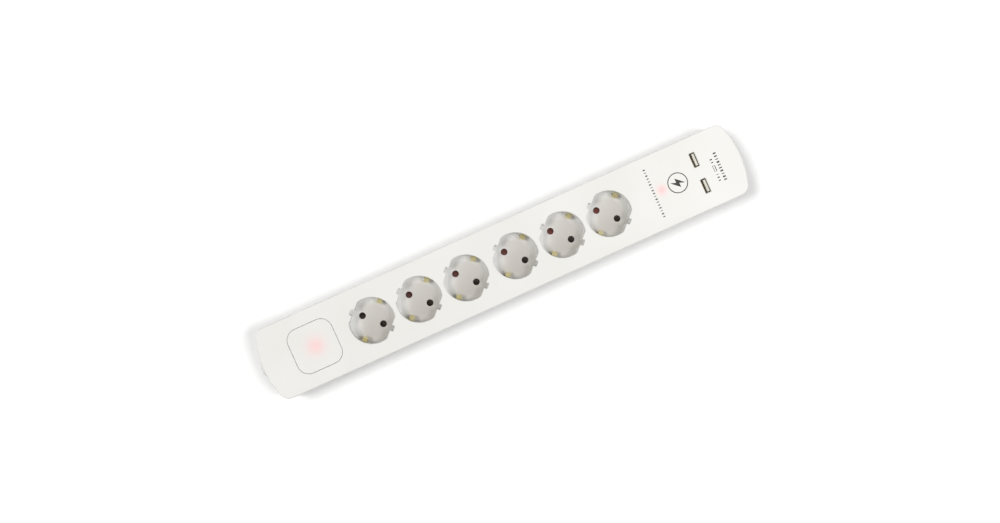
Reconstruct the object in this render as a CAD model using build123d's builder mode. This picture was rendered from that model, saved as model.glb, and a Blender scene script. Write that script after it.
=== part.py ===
from build123d import *
from math import cos, radians, sin, sqrt
import os

# Six-way power strip with surge protection, a lit push switch and two charging ports.
# Millimetres. X runs along the strip towards the charging ports and Z is up. The origin lies
# on the surface the strip stands on, under the middle of its whole length.

# Casing
CASING_WIDTH = 63.6
CASING_HEIGHT = 41.0
END_ARC_RADIUS = 84.0
CORNER_RADIUS = 9.0
TOP_EDGE_RADIUS = 1.2
BOTTOM_EDGE_RADIUS = 2.0
WALL = 2.2
COVER_PLATE = 2.5
BASE_FLOOR = 2.2
PARTING_RISE = 0.5
PARTING_CHAMFER = 0.4
LIP_HEIGHT = 2.0
LIP_THICKNESS = 1.0
LIP_CLEARANCE = 0.15

# Layout along the strip
END_TO_SWITCH = 46.4
SWITCH_TO_SOCKETS = 52.0
SOCKET_COUNT = 6
CUP_GAP = 0.9
MIDDLE_GAP = 2.2
SOCKETS_TO_PORTS = 84.1
PORTS_TO_END = 38.0
INDICATOR_TO_PORTS = 35.3

# Sockets
RECESS_RADIUS = 19.5
RECESS_DEPTH = 17.5
FLAT_DISTANCE = 16.9
GROOVE_WIDTH = 4.8
GROOVE_REACH = 19.5
GROOVE_CORNER = 0.6
SOCKET_ANGLE = 135.0
PIN_SPACING = 19.0
PIN_HOLE_RADIUS = 2.9
RIM_CHAMFER = 0.4
CUP_WALL = 1.6
CUP_FLOOR = 2.0
FLANGE_THICKNESS = 1.6
FLANGE_CORNER = 10.0
FLANGE_CLEARANCE = 0.4

# Shutters and their springs
PIVOT_RADIUS = 2.0
PIVOT_CLEARANCE = 0.05
SHUTTER_HEIGHT = 3.8
SHUTTER_CLEARANCE = 0.3
SHUTTER_HUB_RADIUS = 4.0
SHUTTER_WING_WIDTH = 6.9
SHUTTER_REACH = 13.0
SHUTTER_RAMP_LIP = 1.2
SHUTTER_RAMP_DROP = 2.6
LEAF_PEG_RADIUS = 1.0
LEAF_PEG_ANGLE = 80.0
LEAF_SPRING_THICKNESS = 0.3
LEAF_SPRING_HEIGHT = 2.0
LEAF_SPRING_BEND = 1.0
LEAF_SPRING_CLEARANCE = 0.15

# Earth straps and bus
STRAP_THICKNESS = 0.8
STRAP_WIDTH = 4.4
STRAP_STANDOFF = 1.2
STRAP_BEND = 1.2
CLIP_REACH = 14.7
CLIP_TOP_DROP = 5.0
CLIP_TOP_CLEARANCE = 0.3
CLIP_BULGE_DROP = 10.5
CLIP_SLOT_CLEARANCE = 0.3
STAKE_RADIUS = 1.2
STAKE_CLEARANCE = 0.1
BUS_WIDTH = 4.0
BUS_THICKNESS = 0.8

# Live and neutral rails
RAIL_WIDTH = 6.0
RAIL_THICKNESS = 0.8
RAIL_RISE = 1.0
RAIL_NOTCH_CLEARANCE = 0.3
LEAF_LENGTH = 7.0
LEAF_THICKNESS = 0.6
LEAF_ROOT_GAP = 2.2
LEAF_PINCH_GAP = 2.0
LEAF_MOUTH_GAP = 3.2
LEAF_MOUTH_DROP = 4.0
LEAF_TOP_CLEARANCE = 1.3

# Push switch
SWITCH_OPENING = 40.0
SWITCH_CORNER = 10.2
SWITCH_GAP = 0.3
SWITCH_TRAVEL = 3.0
BUTTON_PLATE = 2.0
BUTTON_WALL = 1.5
BUTTON_EDGE_RADIUS = 0.4
BUTTON_STOP_WIDTH = 1.2
BUTTON_STOP_HEIGHT = 1.4
BUTTON_STOP_CLEARANCE = 0.2
SWITCH_COLLAR_WALL = 1.5
SWITCH_COLLAR_DEPTH = 8.3
SWITCH_BODY_LENGTH = 30.0
SWITCH_BODY_WIDTH = 26.0
SWITCH_BODY_HEIGHT = 17.8
SWITCH_BODY_CLEARANCE = 0.2
SWITCH_NEST_WALL = 1.6
SWITCH_NEST_HEIGHT = 5.0
LAMP_POST_RADIUS = 4.0
LAMP_RADIUS = 2.5
LAMP_FLANGE_RADIUS = 2.9
LAMP_FLANGE_HEIGHT = 1.0
LAMP_HEIGHT = 4.5
LAMP_FLAT_RADIUS = 0.5
LAMP_CLEARANCE = 0.5
TUBE_RUNNING_CLEARANCE = 0.08
TUBE_WALL = 1.5
TUBE_END_CLEARANCE = 1.0
COIL_CLEARANCE = 0.6
COIL_WIRE_WIDTH = 1.2
COIL_WIRE_HEIGHT = 0.8
COIL_TURNS = 4.5
TERMINAL_LENGTH = 6.0
TERMINAL_THICKNESS = 0.8
TERMINAL_RISE = 5.8

# Charging ports and the surge board
PORT_SPACING = 23.8
PORT_LENGTH = 12.9
PORT_WIDTH = 5.2
PORT_HEIGHT = 16.0
PORT_SHEET = 0.3
PORT_SINK = 0.4
PORT_CLEARANCE = 0.15
PORT_CORNER = 0.8
PORT_WINDOW_LENGTH = 6.0
PORT_WINDOW_WIDTH = 1.8
PORT_WINDOW_SPACING = 6.0
PORT_WINDOW_DROP = 4.0
TONGUE_LENGTH = 10.4
TONGUE_THICKNESS = 1.9
TONGUE_OFFSET = 0.8
TONGUE_SINK = 1.0
TONGUE_BLOCK_HEIGHT = 4.0
TONGUE_CLEARANCE = 0.1
BOARD_THICKNESS = 1.6
BOARD_WIDTH = 50.0
BOARD_BEFORE_PORTS = 54.0
BOARD_AFTER_PORTS = 14.0
BOARD_HOLE_INSET = 4.5
BOARD_POST_RADIUS = 3.0
BOARD_PIP_RADIUS = 1.4
BOARD_PIP_CLEARANCE = 0.1
BOARD_PIP_PROUD = 0.6
VARISTOR_DIAMETER = 11.0
VARISTOR_THICKNESS = 3.6
VARISTOR_EDGE_RADIUS = 1.2
VARISTOR_LEG_HEIGHT = 1.5
VARISTOR_LEG_WIDTH = 0.8
VARISTOR_COUNT = 3
VARISTOR_SPACING = 15.0
VARISTOR_INSET = 10.5
FUSE_LENGTH = 11.0
FUSE_RADIUS = 2.0
FUSE_LEAD_RADIUS = 0.4
FUSE_LEAD_REACH = 2.0
FUSE_LEAD_BEND = 0.8
CAPACITOR_RADIUS = 4.0
CAPACITOR_HEIGHT = 11.0
CAPACITOR_EDGE_RADIUS = 0.5
CAPACITOR_SPACING = 10.0
TRANSFORMER_LENGTH = 17.0
TRANSFORMER_WIDTH = 14.0
TRANSFORMER_HEIGHT = 11.0
TRANSFORMER_FLANGE = 1.2
LED_RADIUS = 2.5
LED_HEIGHT = 5.4
LED_FLAT_RADIUS = 0.5
PIPE_RADIUS = 3.0
PIPE_CLEARANCE = 0.1
PIPE_SLEEVE_WALL = 1.2
PIPE_SLEEVE_DEPTH = 4.0
PIPE_SKIN = 0.8
PIPE_LED_GAP = 0.2

# Cord inlet
COLLAR_PROUD = 4.7
COLLAR_RADIUS = 7.6
COLLAR_BORE_RADIUS = 4.2
COLLAR_RISE = 10.8
COLLAR_FIT = 0.1
COLLAR_FLANGE_RADIUS = 9.2
COLLAR_FLANGE_THICKNESS = 2.0
COLLAR_TAIL_LENGTH = 3.0
COLLAR_EDGE_RADIUS = 3.0
CLAMP_INSET = 12.0
CLAMP_LENGTH = 25.0
CLAMP_WIDTH = 7.0
CLAMP_HEIGHT = 5.5
CLAMP_GRIP_RADIUS = 3.8
CLAMP_SCREW_SPACING = 18.0
CLAMP_POST_RADIUS = 3.2
CLAMP_SCREW_RADIUS = 1.3
CLAMP_SCREW_HEAD_RADIUS = 2.6
CLAMP_SCREW_HEAD_HEIGHT = 1.8
CLAMP_SCREW_BITE = 7.0

# Screws, feet, ribs and wall keyholes
SCREW_RADIUS = 1.5
SCREW_HEAD_RADIUS = 2.9
SCREW_HEAD_HEIGHT = 2.2
SCREW_BITE = 9.0
SCREW_CLEARANCE = 0.15
SCREW_PILOT_CLEARANCE = 0.05
SCREW_PILOT_EXTRA = 1.0
SCREW_LEDGE = 6.0
POST_RADIUS = 4.5
BOSS_RADIUS = 3.6
POST_WALL_GAP = 0.8
END_SCREW_INSET = 15.0
FOOT_PROUD = 1.0
FOOT_SUNK = 1.0
FOOT_RADIUS = 5.0
FOOT_CLEARANCE = 0.1
FOOT_INSET = 36.0
FOOT_EDGE_INSET = 9.7
FOOT_EDGE_RADIUS = 0.4
RIB_THICKNESS = 1.8
RIB_HEIGHT = 5.5
RIB_LENGTH = 50.0
CUP_FIN_THICKNESS = 2.0
CUP_FIN_WIDTH = 4.0
CUP_FIN_RADIUS = 17.6
KEYHOLE_INSET = 23.5
KEYHOLE_RADIUS = 4.25
KEYHOLE_SLOT_WIDTH = 4.5
KEYHOLE_SLOT_REACH = 8.0
KEYHOLE_POCKET_WALL = 1.4
KEYHOLE_POCKET_HEIGHT = 3.4
KEYHOLE_POCKET_ROOM = 1.2

# Stations along the strip
SOCKET_PITCH = 2 * (RECESS_RADIUS + CUP_WALL) + CUP_GAP
SOCKET_RUN = (SOCKET_COUNT - 1) * SOCKET_PITCH + MIDDLE_GAP
CASING_LENGTH = END_TO_SWITCH + SWITCH_TO_SOCKETS + SOCKET_RUN + SOCKETS_TO_PORTS + PORTS_TO_END
CASING_RIGHT = (CASING_LENGTH + COLLAR_PROUD) / 2
CASING_LEFT = CASING_RIGHT - CASING_LENGTH
SWITCH_X = CASING_LEFT + END_TO_SWITCH
FIRST_SOCKET_X = SWITCH_X + SWITCH_TO_SOCKETS
LAST_SOCKET_X = FIRST_SOCKET_X + SOCKET_RUN
SOCKETS_MIDDLE = (FIRST_SOCKET_X + LAST_SOCKET_X) / 2
HALF_COUNT = SOCKET_COUNT // 2
SOCKET_XS = [FIRST_SOCKET_X + index * SOCKET_PITCH for index in range(HALF_COUNT)]
SOCKET_XS += [LAST_SOCKET_X - index * SOCKET_PITCH for index in reversed(range(SOCKET_COUNT - HALF_COUNT))]
PORT_X = CASING_RIGHT - PORTS_TO_END
INDICATOR_X = PORT_X - INDICATOR_TO_PORTS
PORT_YS = [PORT_SPACING / 2, -PORT_SPACING / 2]

# Levels
BASE_Z = FOOT_PROUD
FLOOR_Z = BASE_Z + BASE_FLOOR
TOP_Z = BASE_Z + CASING_HEIGHT
UNDER_TOP_Z = TOP_Z - COVER_PLATE
SOCKET_FLOOR_Z = TOP_Z - RECESS_DEPTH
CUP_BOTTOM_Z = SOCKET_FLOOR_Z - CUP_FLOOR
PARTING_Z = SOCKET_FLOOR_Z + PARTING_RISE
SHUTTER_TOP_Z = CUP_BOTTOM_Z - SHUTTER_CLEARANCE
SHUTTER_BOTTOM_Z = SHUTTER_TOP_Z - SHUTTER_HEIGHT
STRAP_TOP_Z = SHUTTER_BOTTOM_Z - SHUTTER_CLEARANCE
BUS_TOP_Z = STRAP_TOP_Z - STRAP_THICKNESS
BUS_BOTTOM_Z = BUS_TOP_Z - BUS_THICKNESS
RAIL_BOTTOM_Z = FLOOR_Z + RAIL_RISE
RAIL_TOP_Z = RAIL_BOTTOM_Z + RAIL_THICKNESS
LEAF_TOP_Z = BUS_TOP_Z - LEAF_TOP_CLEARANCE
BOARD_TOP_Z = TOP_Z - PORT_SINK - PORT_HEIGHT
BOARD_BOTTOM_Z = BOARD_TOP_Z - BOARD_THICKNESS
COLLAR_Z = FLOOR_Z + COLLAR_RISE
CAP_UNDER_Z = TOP_Z - BUTTON_PLATE
SWITCH_BODY_TOP_Z = FLOOR_Z + SWITCH_BODY_HEIGHT
LAMP_TOP_Z = CAP_UNDER_Z - SWITCH_TRAVEL - LAMP_CLEARANCE
LAMP_POST_TOP_Z = LAMP_TOP_Z - LAMP_HEIGHT
SCREW_SEAT_Z = PARTING_Z - SCREW_LEDGE

# Directions within a socket: pins along one diagonal, earth clips along the other
PIN_X = cos(radians(SOCKET_ANGLE))
PIN_Y = sin(radians(SOCKET_ANGLE))
PIN_OFFSET_X = PIN_X * PIN_SPACING / 2
PIN_OFFSET_Y = PIN_Y * PIN_SPACING / 2
STRAP_PLANE = Plane(origin=(0, 0, 0), x_dir=(PIN_Y, -PIN_X, 0), z_dir=(-PIN_X, -PIN_Y, 0))

# Places of repeated fittings
POST_Y = CASING_WIDTH / 2 - WALL - POST_WALL_GAP - POST_RADIUS
POST_XS = [CASING_LEFT + END_SCREW_INSET, SOCKETS_MIDDLE, CASING_RIGHT - END_SCREW_INSET]
POST_SPOTS = [(x, side * POST_Y) for x in POST_XS for side in (-1, 1)]
FOOT_XS = [CASING_LEFT + FOOT_INSET, CASING_RIGHT - FOOT_INSET]
FOOT_Y = CASING_WIDTH / 2 - FOOT_EDGE_INSET
FOOT_SPOTS = [(x, side * FOOT_Y) for x in FOOT_XS for side in (-1, 1)]
KEYHOLE_SPOTS = [(CASING_LEFT + KEYHOLE_INSET, 0), (CASING_RIGHT - KEYHOLE_INSET, 0)]
BOARD_LEFT = PORT_X - BOARD_BEFORE_PORTS
BOARD_RIGHT = PORT_X + BOARD_AFTER_PORTS
BOARD_MIDDLE = (BOARD_LEFT + BOARD_RIGHT) / 2
BOARD_LENGTH = BOARD_RIGHT - BOARD_LEFT
BOARD_POST_Y = BOARD_WIDTH / 2 - BOARD_HOLE_INSET
BOARD_POST_XS = [BOARD_LEFT + BOARD_HOLE_INSET, BOARD_RIGHT - BOARD_HOLE_INSET]
BOARD_POST_SPOTS = [(x, side * BOARD_POST_Y) for x in BOARD_POST_XS for side in (-1, 1)]
RIB_XS = [FIRST_SOCKET_X - SOCKET_PITCH / 2]
RIB_XS += [(left + right) / 2 for left, right in zip(SOCKET_XS, SOCKET_XS[1:])]
RIB_XS += [LAST_SOCKET_X + SOCKET_PITCH / 2]
COLLAR_END_X = CASING_LEFT - COLLAR_PROUD
CLAMP_X = CASING_LEFT + CLAMP_INSET
CLAMP_SPOTS = [(CLAMP_X, side * CLAMP_SCREW_SPACING / 2) for side in (-1, 1)]
RAIL_LEFT = SWITCH_X + SWITCH_BODY_LENGTH / 2 + TERMINAL_LENGTH
RAIL_RIGHT = BOARD_LEFT + BOARD_HOLE_INSET
TERMINAL_Z = FLOOR_Z + TERMINAL_RISE

os.makedirs("parts", exist_ok=True)


def save(piece, node):
    """Label a finished piece and write it as one STEP file."""
    piece.part.label = node
    export_step(piece.part, f"parts/{node}.step")


# Plan of the casing: straight sides, shallow bowed ends and rounded corners
end_drop = END_ARC_RADIUS - sqrt(END_ARC_RADIUS**2 - (CASING_WIDTH / 2) ** 2)
with BuildSketch() as casing_plan:
    with BuildLine():
        near_left = (CASING_LEFT + end_drop, -CASING_WIDTH / 2)
        far_left = (CASING_LEFT + end_drop, CASING_WIDTH / 2)
        near_right = (CASING_RIGHT - end_drop, -CASING_WIDTH / 2)
        far_right = (CASING_RIGHT - end_drop, CASING_WIDTH / 2)
        ThreePointArc(near_left, (CASING_LEFT, 0), far_left)
        Line(far_left, far_right)
        ThreePointArc(far_right, (CASING_RIGHT, 0), near_right)
        Line(near_right, near_left)
    make_face()
    fillet(casing_plan.vertices(), CORNER_RADIUS)

# Plan of a socket recess: a circle with two flats and a guide groove in each flat
with BuildSketch() as recess_plan:
    Circle(RECESS_RADIUS)
    Rectangle(2 * FLAT_DISTANCE, 2 * RECESS_RADIUS, rotation=SOCKET_ANGLE, mode=Mode.INTERSECT)
    RectangleRounded(2 * GROOVE_REACH, GROOVE_WIDTH, GROOVE_CORNER, rotation=SOCKET_ANGLE)

# Plan of the cup around that recess, one wall thickness further out
with BuildSketch() as cup_plan:
    Circle(RECESS_RADIUS + CUP_WALL)
    Rectangle(
        2 * (FLAT_DISTANCE + CUP_WALL),
        2 * (RECESS_RADIUS + CUP_WALL),
        rotation=SOCKET_ANGLE,
        mode=Mode.INTERSECT,
    )
    RectangleRounded(
        2 * (GROOVE_REACH + CUP_WALL),
        GROOVE_WIDTH + 2 * CUP_WALL,
        GROOVE_CORNER + CUP_WALL,
        rotation=SOCKET_ANGLE,
    )

# Top cover: one moulded shell with bosses, the switch collar and the light pipe's sleeve
with BuildPart() as top_cover:
    with BuildSketch(Plane.XY.offset(PARTING_Z)):
        add(casing_plan.sketch)
    extrude(amount=TOP_Z - PARTING_Z)
    fillet(top_cover.faces().sort_by(Axis.Z)[-1].edges(), TOP_EDGE_RADIUS)
    chamfer(top_cover.faces().sort_by(Axis.Z)[0].edges(), PARTING_CHAMFER)
    with BuildSketch(Plane.XY.offset(PARTING_Z)):
        add(casing_plan.sketch)
        offset(amount=-WALL)
    extrude(amount=UNDER_TOP_Z - PARTING_Z, mode=Mode.SUBTRACT)
    with BuildSketch(Plane.XY.offset(PARTING_Z)):
        add(casing_plan.sketch)
        offset(amount=-(WALL - LIP_THICKNESS - LIP_CLEARANCE))
    extrude(amount=LIP_HEIGHT + LIP_CLEARANCE, mode=Mode.SUBTRACT)
    with BuildSketch(Plane.XY.offset(PARTING_Z)):
        with Locations(*POST_SPOTS):
            Circle(BOSS_RADIUS)
    extrude(amount=UNDER_TOP_Z - PARTING_Z)
    with BuildSketch(Plane.XY.offset(PARTING_Z)):
        with Locations(*POST_SPOTS):
            Circle(SCREW_RADIUS + SCREW_PILOT_CLEARANCE)
    extrude(amount=SCREW_BITE + SCREW_PILOT_EXTRA, mode=Mode.SUBTRACT)
    with BuildSketch(Plane.XY.offset(UNDER_TOP_Z - SWITCH_COLLAR_DEPTH)):
        with Locations((SWITCH_X, 0)):
            collar_side = SWITCH_OPENING + 2 * SWITCH_COLLAR_WALL
            RectangleRounded(collar_side, collar_side, SWITCH_CORNER + SWITCH_COLLAR_WALL)
    extrude(amount=SWITCH_COLLAR_DEPTH)
    with BuildSketch(Plane.XY.offset(TOP_Z)):
        with Locations((SWITCH_X, 0)):
            RectangleRounded(SWITCH_OPENING, SWITCH_OPENING, SWITCH_CORNER)
    extrude(amount=-(COVER_PLATE + SWITCH_COLLAR_DEPTH), mode=Mode.SUBTRACT)
    with BuildSketch(Plane.XY.offset(TOP_Z)):
        with Locations(*[(PORT_X, y) for y in PORT_YS]):
            RectangleRounded(
                PORT_WIDTH + 2 * PORT_CLEARANCE,
                PORT_LENGTH + 2 * PORT_CLEARANCE,
                PORT_CORNER + PORT_CLEARANCE,
            )
    extrude(amount=-COVER_PLATE, mode=Mode.SUBTRACT)
    with BuildSketch(Plane.XY.offset(UNDER_TOP_Z - PIPE_SLEEVE_DEPTH)):
        with Locations((INDICATOR_X, 0)):
            Circle(PIPE_RADIUS + PIPE_CLEARANCE + PIPE_SLEEVE_WALL)
    extrude(amount=PIPE_SLEEVE_DEPTH)
    with BuildSketch(Plane.XY.offset(TOP_Z - PIPE_SKIN)):
        with Locations((INDICATOR_X, 0)):
            Circle(PIPE_RADIUS + PIPE_CLEARANCE)
    extrude(amount=-(COVER_PLATE - PIPE_SKIN + PIPE_SLEEVE_DEPTH), mode=Mode.SUBTRACT)
    before_sockets = top_cover.edges()
    with BuildSketch(Plane.XY.offset(TOP_Z)):
        with Locations(*[(x, 0) for x in SOCKET_XS]):
            add(recess_plan.sketch)
    extrude(amount=-COVER_PLATE, mode=Mode.SUBTRACT)
    socket_rims = (top_cover.edges() - before_sockets).group_by(Axis.Z)[-1]
    chamfer(socket_rims, RIM_CHAMFER)
save(top_cover, "top_cover")

# Base cover: tub with lip, screw posts, rail ribs, cup fins, switch nest and keyhole pockets
with BuildPart() as base_cover:
    with BuildSketch(Plane.XY.offset(BASE_Z)):
        add(casing_plan.sketch)
    extrude(amount=PARTING_Z - BASE_Z)
    fillet(base_cover.faces().sort_by(Axis.Z)[0].edges(), BOTTOM_EDGE_RADIUS)
    chamfer(base_cover.faces().sort_by(Axis.Z)[-1].edges(), PARTING_CHAMFER)
    with BuildSketch(Plane.XY.offset(PARTING_Z)):
        add(casing_plan.sketch)
        offset(amount=-(WALL - LIP_THICKNESS))
    extrude(amount=LIP_HEIGHT)
    with BuildSketch(Plane.XY.offset(FLOOR_Z)):
        add(casing_plan.sketch)
        offset(amount=-WALL)
    extrude(amount=PARTING_Z + LIP_HEIGHT - FLOOR_Z, mode=Mode.SUBTRACT)

    # Ribs across the floor that cradle the two rails
    with BuildSketch(Plane.XY.offset(FLOOR_Z)):
        with Locations(*[(x, 0) for x in RIB_XS]):
            Rectangle(RIB_THICKNESS, RIB_LENGTH)
    extrude(amount=RIB_HEIGHT)
    with BuildSketch(Plane.XY.offset(RAIL_BOTTOM_Z)):
        with Locations(*[(x, side * PIN_OFFSET_Y) for x in RIB_XS for side in (-1, 1)]):
            Rectangle(RIB_THICKNESS, RAIL_WIDTH + 2 * RAIL_NOTCH_CLEARANCE)
    extrude(amount=RIB_HEIGHT, mode=Mode.SUBTRACT)

    # Fins that hold the cups up against the top cover
    with BuildSketch(Plane.XY.offset(FLOOR_Z)):
        with Locations(*[(x, side * CUP_FIN_RADIUS) for x in SOCKET_XS for side in (-1, 1)]):
            Rectangle(CUP_FIN_THICKNESS, CUP_FIN_WIDTH)
    extrude(amount=CUP_BOTTOM_Z - FLOOR_Z)

    # Nest for the switch body
    with BuildSketch(Plane.XY.offset(FLOOR_Z)):
        with Locations((SWITCH_X, 0)):
            nest_length = SWITCH_BODY_LENGTH + 2 * SWITCH_BODY_CLEARANCE
            nest_width = SWITCH_BODY_WIDTH + 2 * SWITCH_BODY_CLEARANCE
            Rectangle(nest_length + 2 * SWITCH_NEST_WALL, nest_width + 2 * SWITCH_NEST_WALL)
            Rectangle(nest_length, nest_width, mode=Mode.SUBTRACT)
    extrude(amount=SWITCH_NEST_HEIGHT)

    # Posts for the casing screws, the board and the cord clamp
    with BuildSketch(Plane.XY.offset(FLOOR_Z)):
        with Locations(*POST_SPOTS):
            Circle(POST_RADIUS)
    extrude(amount=PARTING_Z - FLOOR_Z)
    with BuildSketch(Plane.XY.offset(FLOOR_Z)):
        with Locations(*BOARD_POST_SPOTS):
            Circle(BOARD_POST_RADIUS)
    extrude(amount=BOARD_BOTTOM_Z - FLOOR_Z)
    with BuildSketch(Plane.XY.offset(BOARD_BOTTOM_Z)):
        with Locations(*BOARD_POST_SPOTS):
            Circle(BOARD_PIP_RADIUS)
    extrude(amount=BOARD_THICKNESS + BOARD_PIP_PROUD)
    with BuildSketch(Plane.XY.offset(FLOOR_Z)):
        with Locations(*CLAMP_SPOTS):
            Circle(CLAMP_POST_RADIUS)
    extrude(amount=COLLAR_Z - FLOOR_Z)
    with BuildSketch(Plane.XY.offset(COLLAR_Z)):
        with Locations(*CLAMP_SPOTS):
            Circle(CLAMP_SCREW_RADIUS + SCREW_PILOT_CLEARANCE)
    extrude(amount=-(CLAMP_SCREW_BITE + SCREW_PILOT_EXTRA), mode=Mode.SUBTRACT)

    # Screw holes, open from below with a deep seat for the head
    with BuildSketch(Plane.XY.offset(BASE_Z)):
        with Locations(*POST_SPOTS):
            Circle(SCREW_HEAD_RADIUS + SCREW_CLEARANCE)
    extrude(amount=SCREW_SEAT_Z - BASE_Z, mode=Mode.SUBTRACT)
    with BuildSketch(Plane.XY.offset(SCREW_SEAT_Z)):
        with Locations(*POST_SPOTS):
            Circle(SCREW_RADIUS + SCREW_CLEARANCE)
    extrude(amount=SCREW_LEDGE, mode=Mode.SUBTRACT)

    # Wall keyholes, each with a closed pocket behind it
    pocket_length = KEYHOLE_RADIUS + KEYHOLE_SLOT_REACH + KEYHOLE_RADIUS + 2 * KEYHOLE_POCKET_ROOM
    pocket_width = 2 * (KEYHOLE_RADIUS + KEYHOLE_POCKET_ROOM)
    with BuildSketch(Plane.XY.offset(FLOOR_Z)):
        with Locations(*[(x, y + KEYHOLE_SLOT_REACH / 2) for x, y in KEYHOLE_SPOTS]):
            Rectangle(pocket_width + 2 * KEYHOLE_POCKET_WALL, pocket_length + 2 * KEYHOLE_POCKET_WALL)
    extrude(amount=KEYHOLE_POCKET_HEIGHT + KEYHOLE_POCKET_WALL)
    with BuildSketch(Plane.XY.offset(FLOOR_Z)):
        with Locations(*[(x, y + KEYHOLE_SLOT_REACH / 2) for x, y in KEYHOLE_SPOTS]):
            Rectangle(pocket_width, pocket_length)
    extrude(amount=KEYHOLE_POCKET_HEIGHT, mode=Mode.SUBTRACT)
    with BuildSketch(Plane.XY.offset(BASE_Z)):
        with Locations(*KEYHOLE_SPOTS):
            Circle(KEYHOLE_RADIUS)
        with Locations(*[(x, y + KEYHOLE_SLOT_REACH / 2) for x, y in KEYHOLE_SPOTS]):
            Rectangle(KEYHOLE_SLOT_WIDTH, KEYHOLE_SLOT_REACH)
        with Locations(*[(x, y + KEYHOLE_SLOT_REACH) for x, y in KEYHOLE_SPOTS]):
            Circle(KEYHOLE_SLOT_WIDTH / 2)
    extrude(amount=BASE_FLOOR, mode=Mode.SUBTRACT)

    # Seats for the feet and the hole for the cord collar
    with BuildSketch(Plane.XY.offset(BASE_Z)):
        with Locations(*FOOT_SPOTS):
            Circle(FOOT_RADIUS + FOOT_CLEARANCE)
    extrude(amount=FOOT_SUNK, mode=Mode.SUBTRACT)
    with BuildSketch(Plane.YZ.offset(CASING_LEFT)):
        with Locations((0, COLLAR_Z)):
            Circle(COLLAR_RADIUS + COLLAR_FIT)
    extrude(amount=WALL + COLLAR_FLANGE_THICKNESS, mode=Mode.SUBTRACT)
save(base_cover, "base_cover")

# Screws that draw the base up to the top cover
with BuildPart() as casing_screws:
    with BuildSketch(Plane.XY.offset(SCREW_SEAT_Z)):
        with Locations(*POST_SPOTS):
            Circle(SCREW_HEAD_RADIUS)
    extrude(amount=-SCREW_HEAD_HEIGHT)
    with BuildSketch(Plane.XY.offset(SCREW_SEAT_Z)):
        with Locations(*POST_SPOTS):
            Circle(SCREW_RADIUS)
    extrude(amount=SCREW_LEDGE + SCREW_BITE)
save(casing_screws, "casing_screws")

# Rubber feet, sunk into the base
with BuildPart() as rubber_feet:
    with BuildSketch():
        with Locations(*FOOT_SPOTS):
            Circle(FOOT_RADIUS)
    extrude(amount=FOOT_PROUD + FOOT_SUNK)
    chamfer(rubber_feet.edges().group_by(Axis.Z)[0], FOOT_EDGE_RADIUS)
save(rubber_feet, "rubber_feet")

# Cord collar: a flanged bush in the end wall
flange_x = CASING_LEFT + WALL + COLLAR_FLANGE_RADIUS**2 / (2 * (END_ARC_RADIUS - WALL))
flange_back_x = flange_x + COLLAR_FLANGE_THICKNESS
tail_x = flange_back_x + COLLAR_TAIL_LENGTH
with BuildPart() as cord_collar:
    with BuildSketch(Plane.XZ):
        with BuildLine():
            Polyline(
                (COLLAR_END_X, COLLAR_Z + COLLAR_BORE_RADIUS),
                (COLLAR_END_X, COLLAR_Z + COLLAR_RADIUS),
                (flange_x, COLLAR_Z + COLLAR_RADIUS),
                (flange_x, COLLAR_Z + COLLAR_FLANGE_RADIUS),
                (flange_back_x, COLLAR_Z + COLLAR_FLANGE_RADIUS),
                (flange_back_x, COLLAR_Z + COLLAR_RADIUS),
                (tail_x, COLLAR_Z + COLLAR_RADIUS),
                (tail_x, COLLAR_Z + COLLAR_BORE_RADIUS),
                close=True,
            )
        make_face()
    revolve(axis=Axis((0, 0, COLLAR_Z), (1, 0, 0)))
    end_circles = cord_collar.edges().filter_by(GeomType.CIRCLE).group_by(Axis.X)[0]
    fillet(end_circles.sort_by(SortBy.RADIUS)[-1], COLLAR_EDGE_RADIUS)
save(cord_collar, "cord_collar")

# Cord clamp: a bar with a half-round grip, on two posts
with BuildPart() as cord_clamp:
    with BuildSketch(Plane.XY.offset(COLLAR_Z)):
        with Locations((CLAMP_X, 0)):
            RectangleRounded(CLAMP_WIDTH, CLAMP_LENGTH, CLAMP_POST_RADIUS)
    extrude(amount=CLAMP_HEIGHT)
    with BuildSketch(Plane.YZ.offset(CLAMP_X - CLAMP_WIDTH / 2)):
        with Locations((0, COLLAR_Z)):
            Circle(CLAMP_GRIP_RADIUS)
    extrude(amount=CLAMP_WIDTH, mode=Mode.SUBTRACT)
    with BuildSketch(Plane.XY.offset(COLLAR_Z)):
        with Locations(*CLAMP_SPOTS):
            Circle(CLAMP_SCREW_RADIUS + SCREW_CLEARANCE)
    extrude(amount=CLAMP_HEIGHT, mode=Mode.SUBTRACT)
save(cord_clamp, "cord_clamp")

with BuildPart() as clamp_screws:
    with BuildSketch(Plane.XY.offset(COLLAR_Z + CLAMP_HEIGHT)):
        with Locations(*CLAMP_SPOTS):
            Circle(CLAMP_SCREW_HEAD_RADIUS)
    extrude(amount=CLAMP_SCREW_HEAD_HEIGHT)
    with BuildSketch(Plane.XY.offset(COLLAR_Z + CLAMP_HEIGHT)):
        with Locations(*CLAMP_SPOTS):
            Circle(CLAMP_SCREW_RADIUS)
    extrude(amount=-(CLAMP_HEIGHT + CLAMP_SCREW_BITE))
save(clamp_screws, "clamp_screws")

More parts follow.
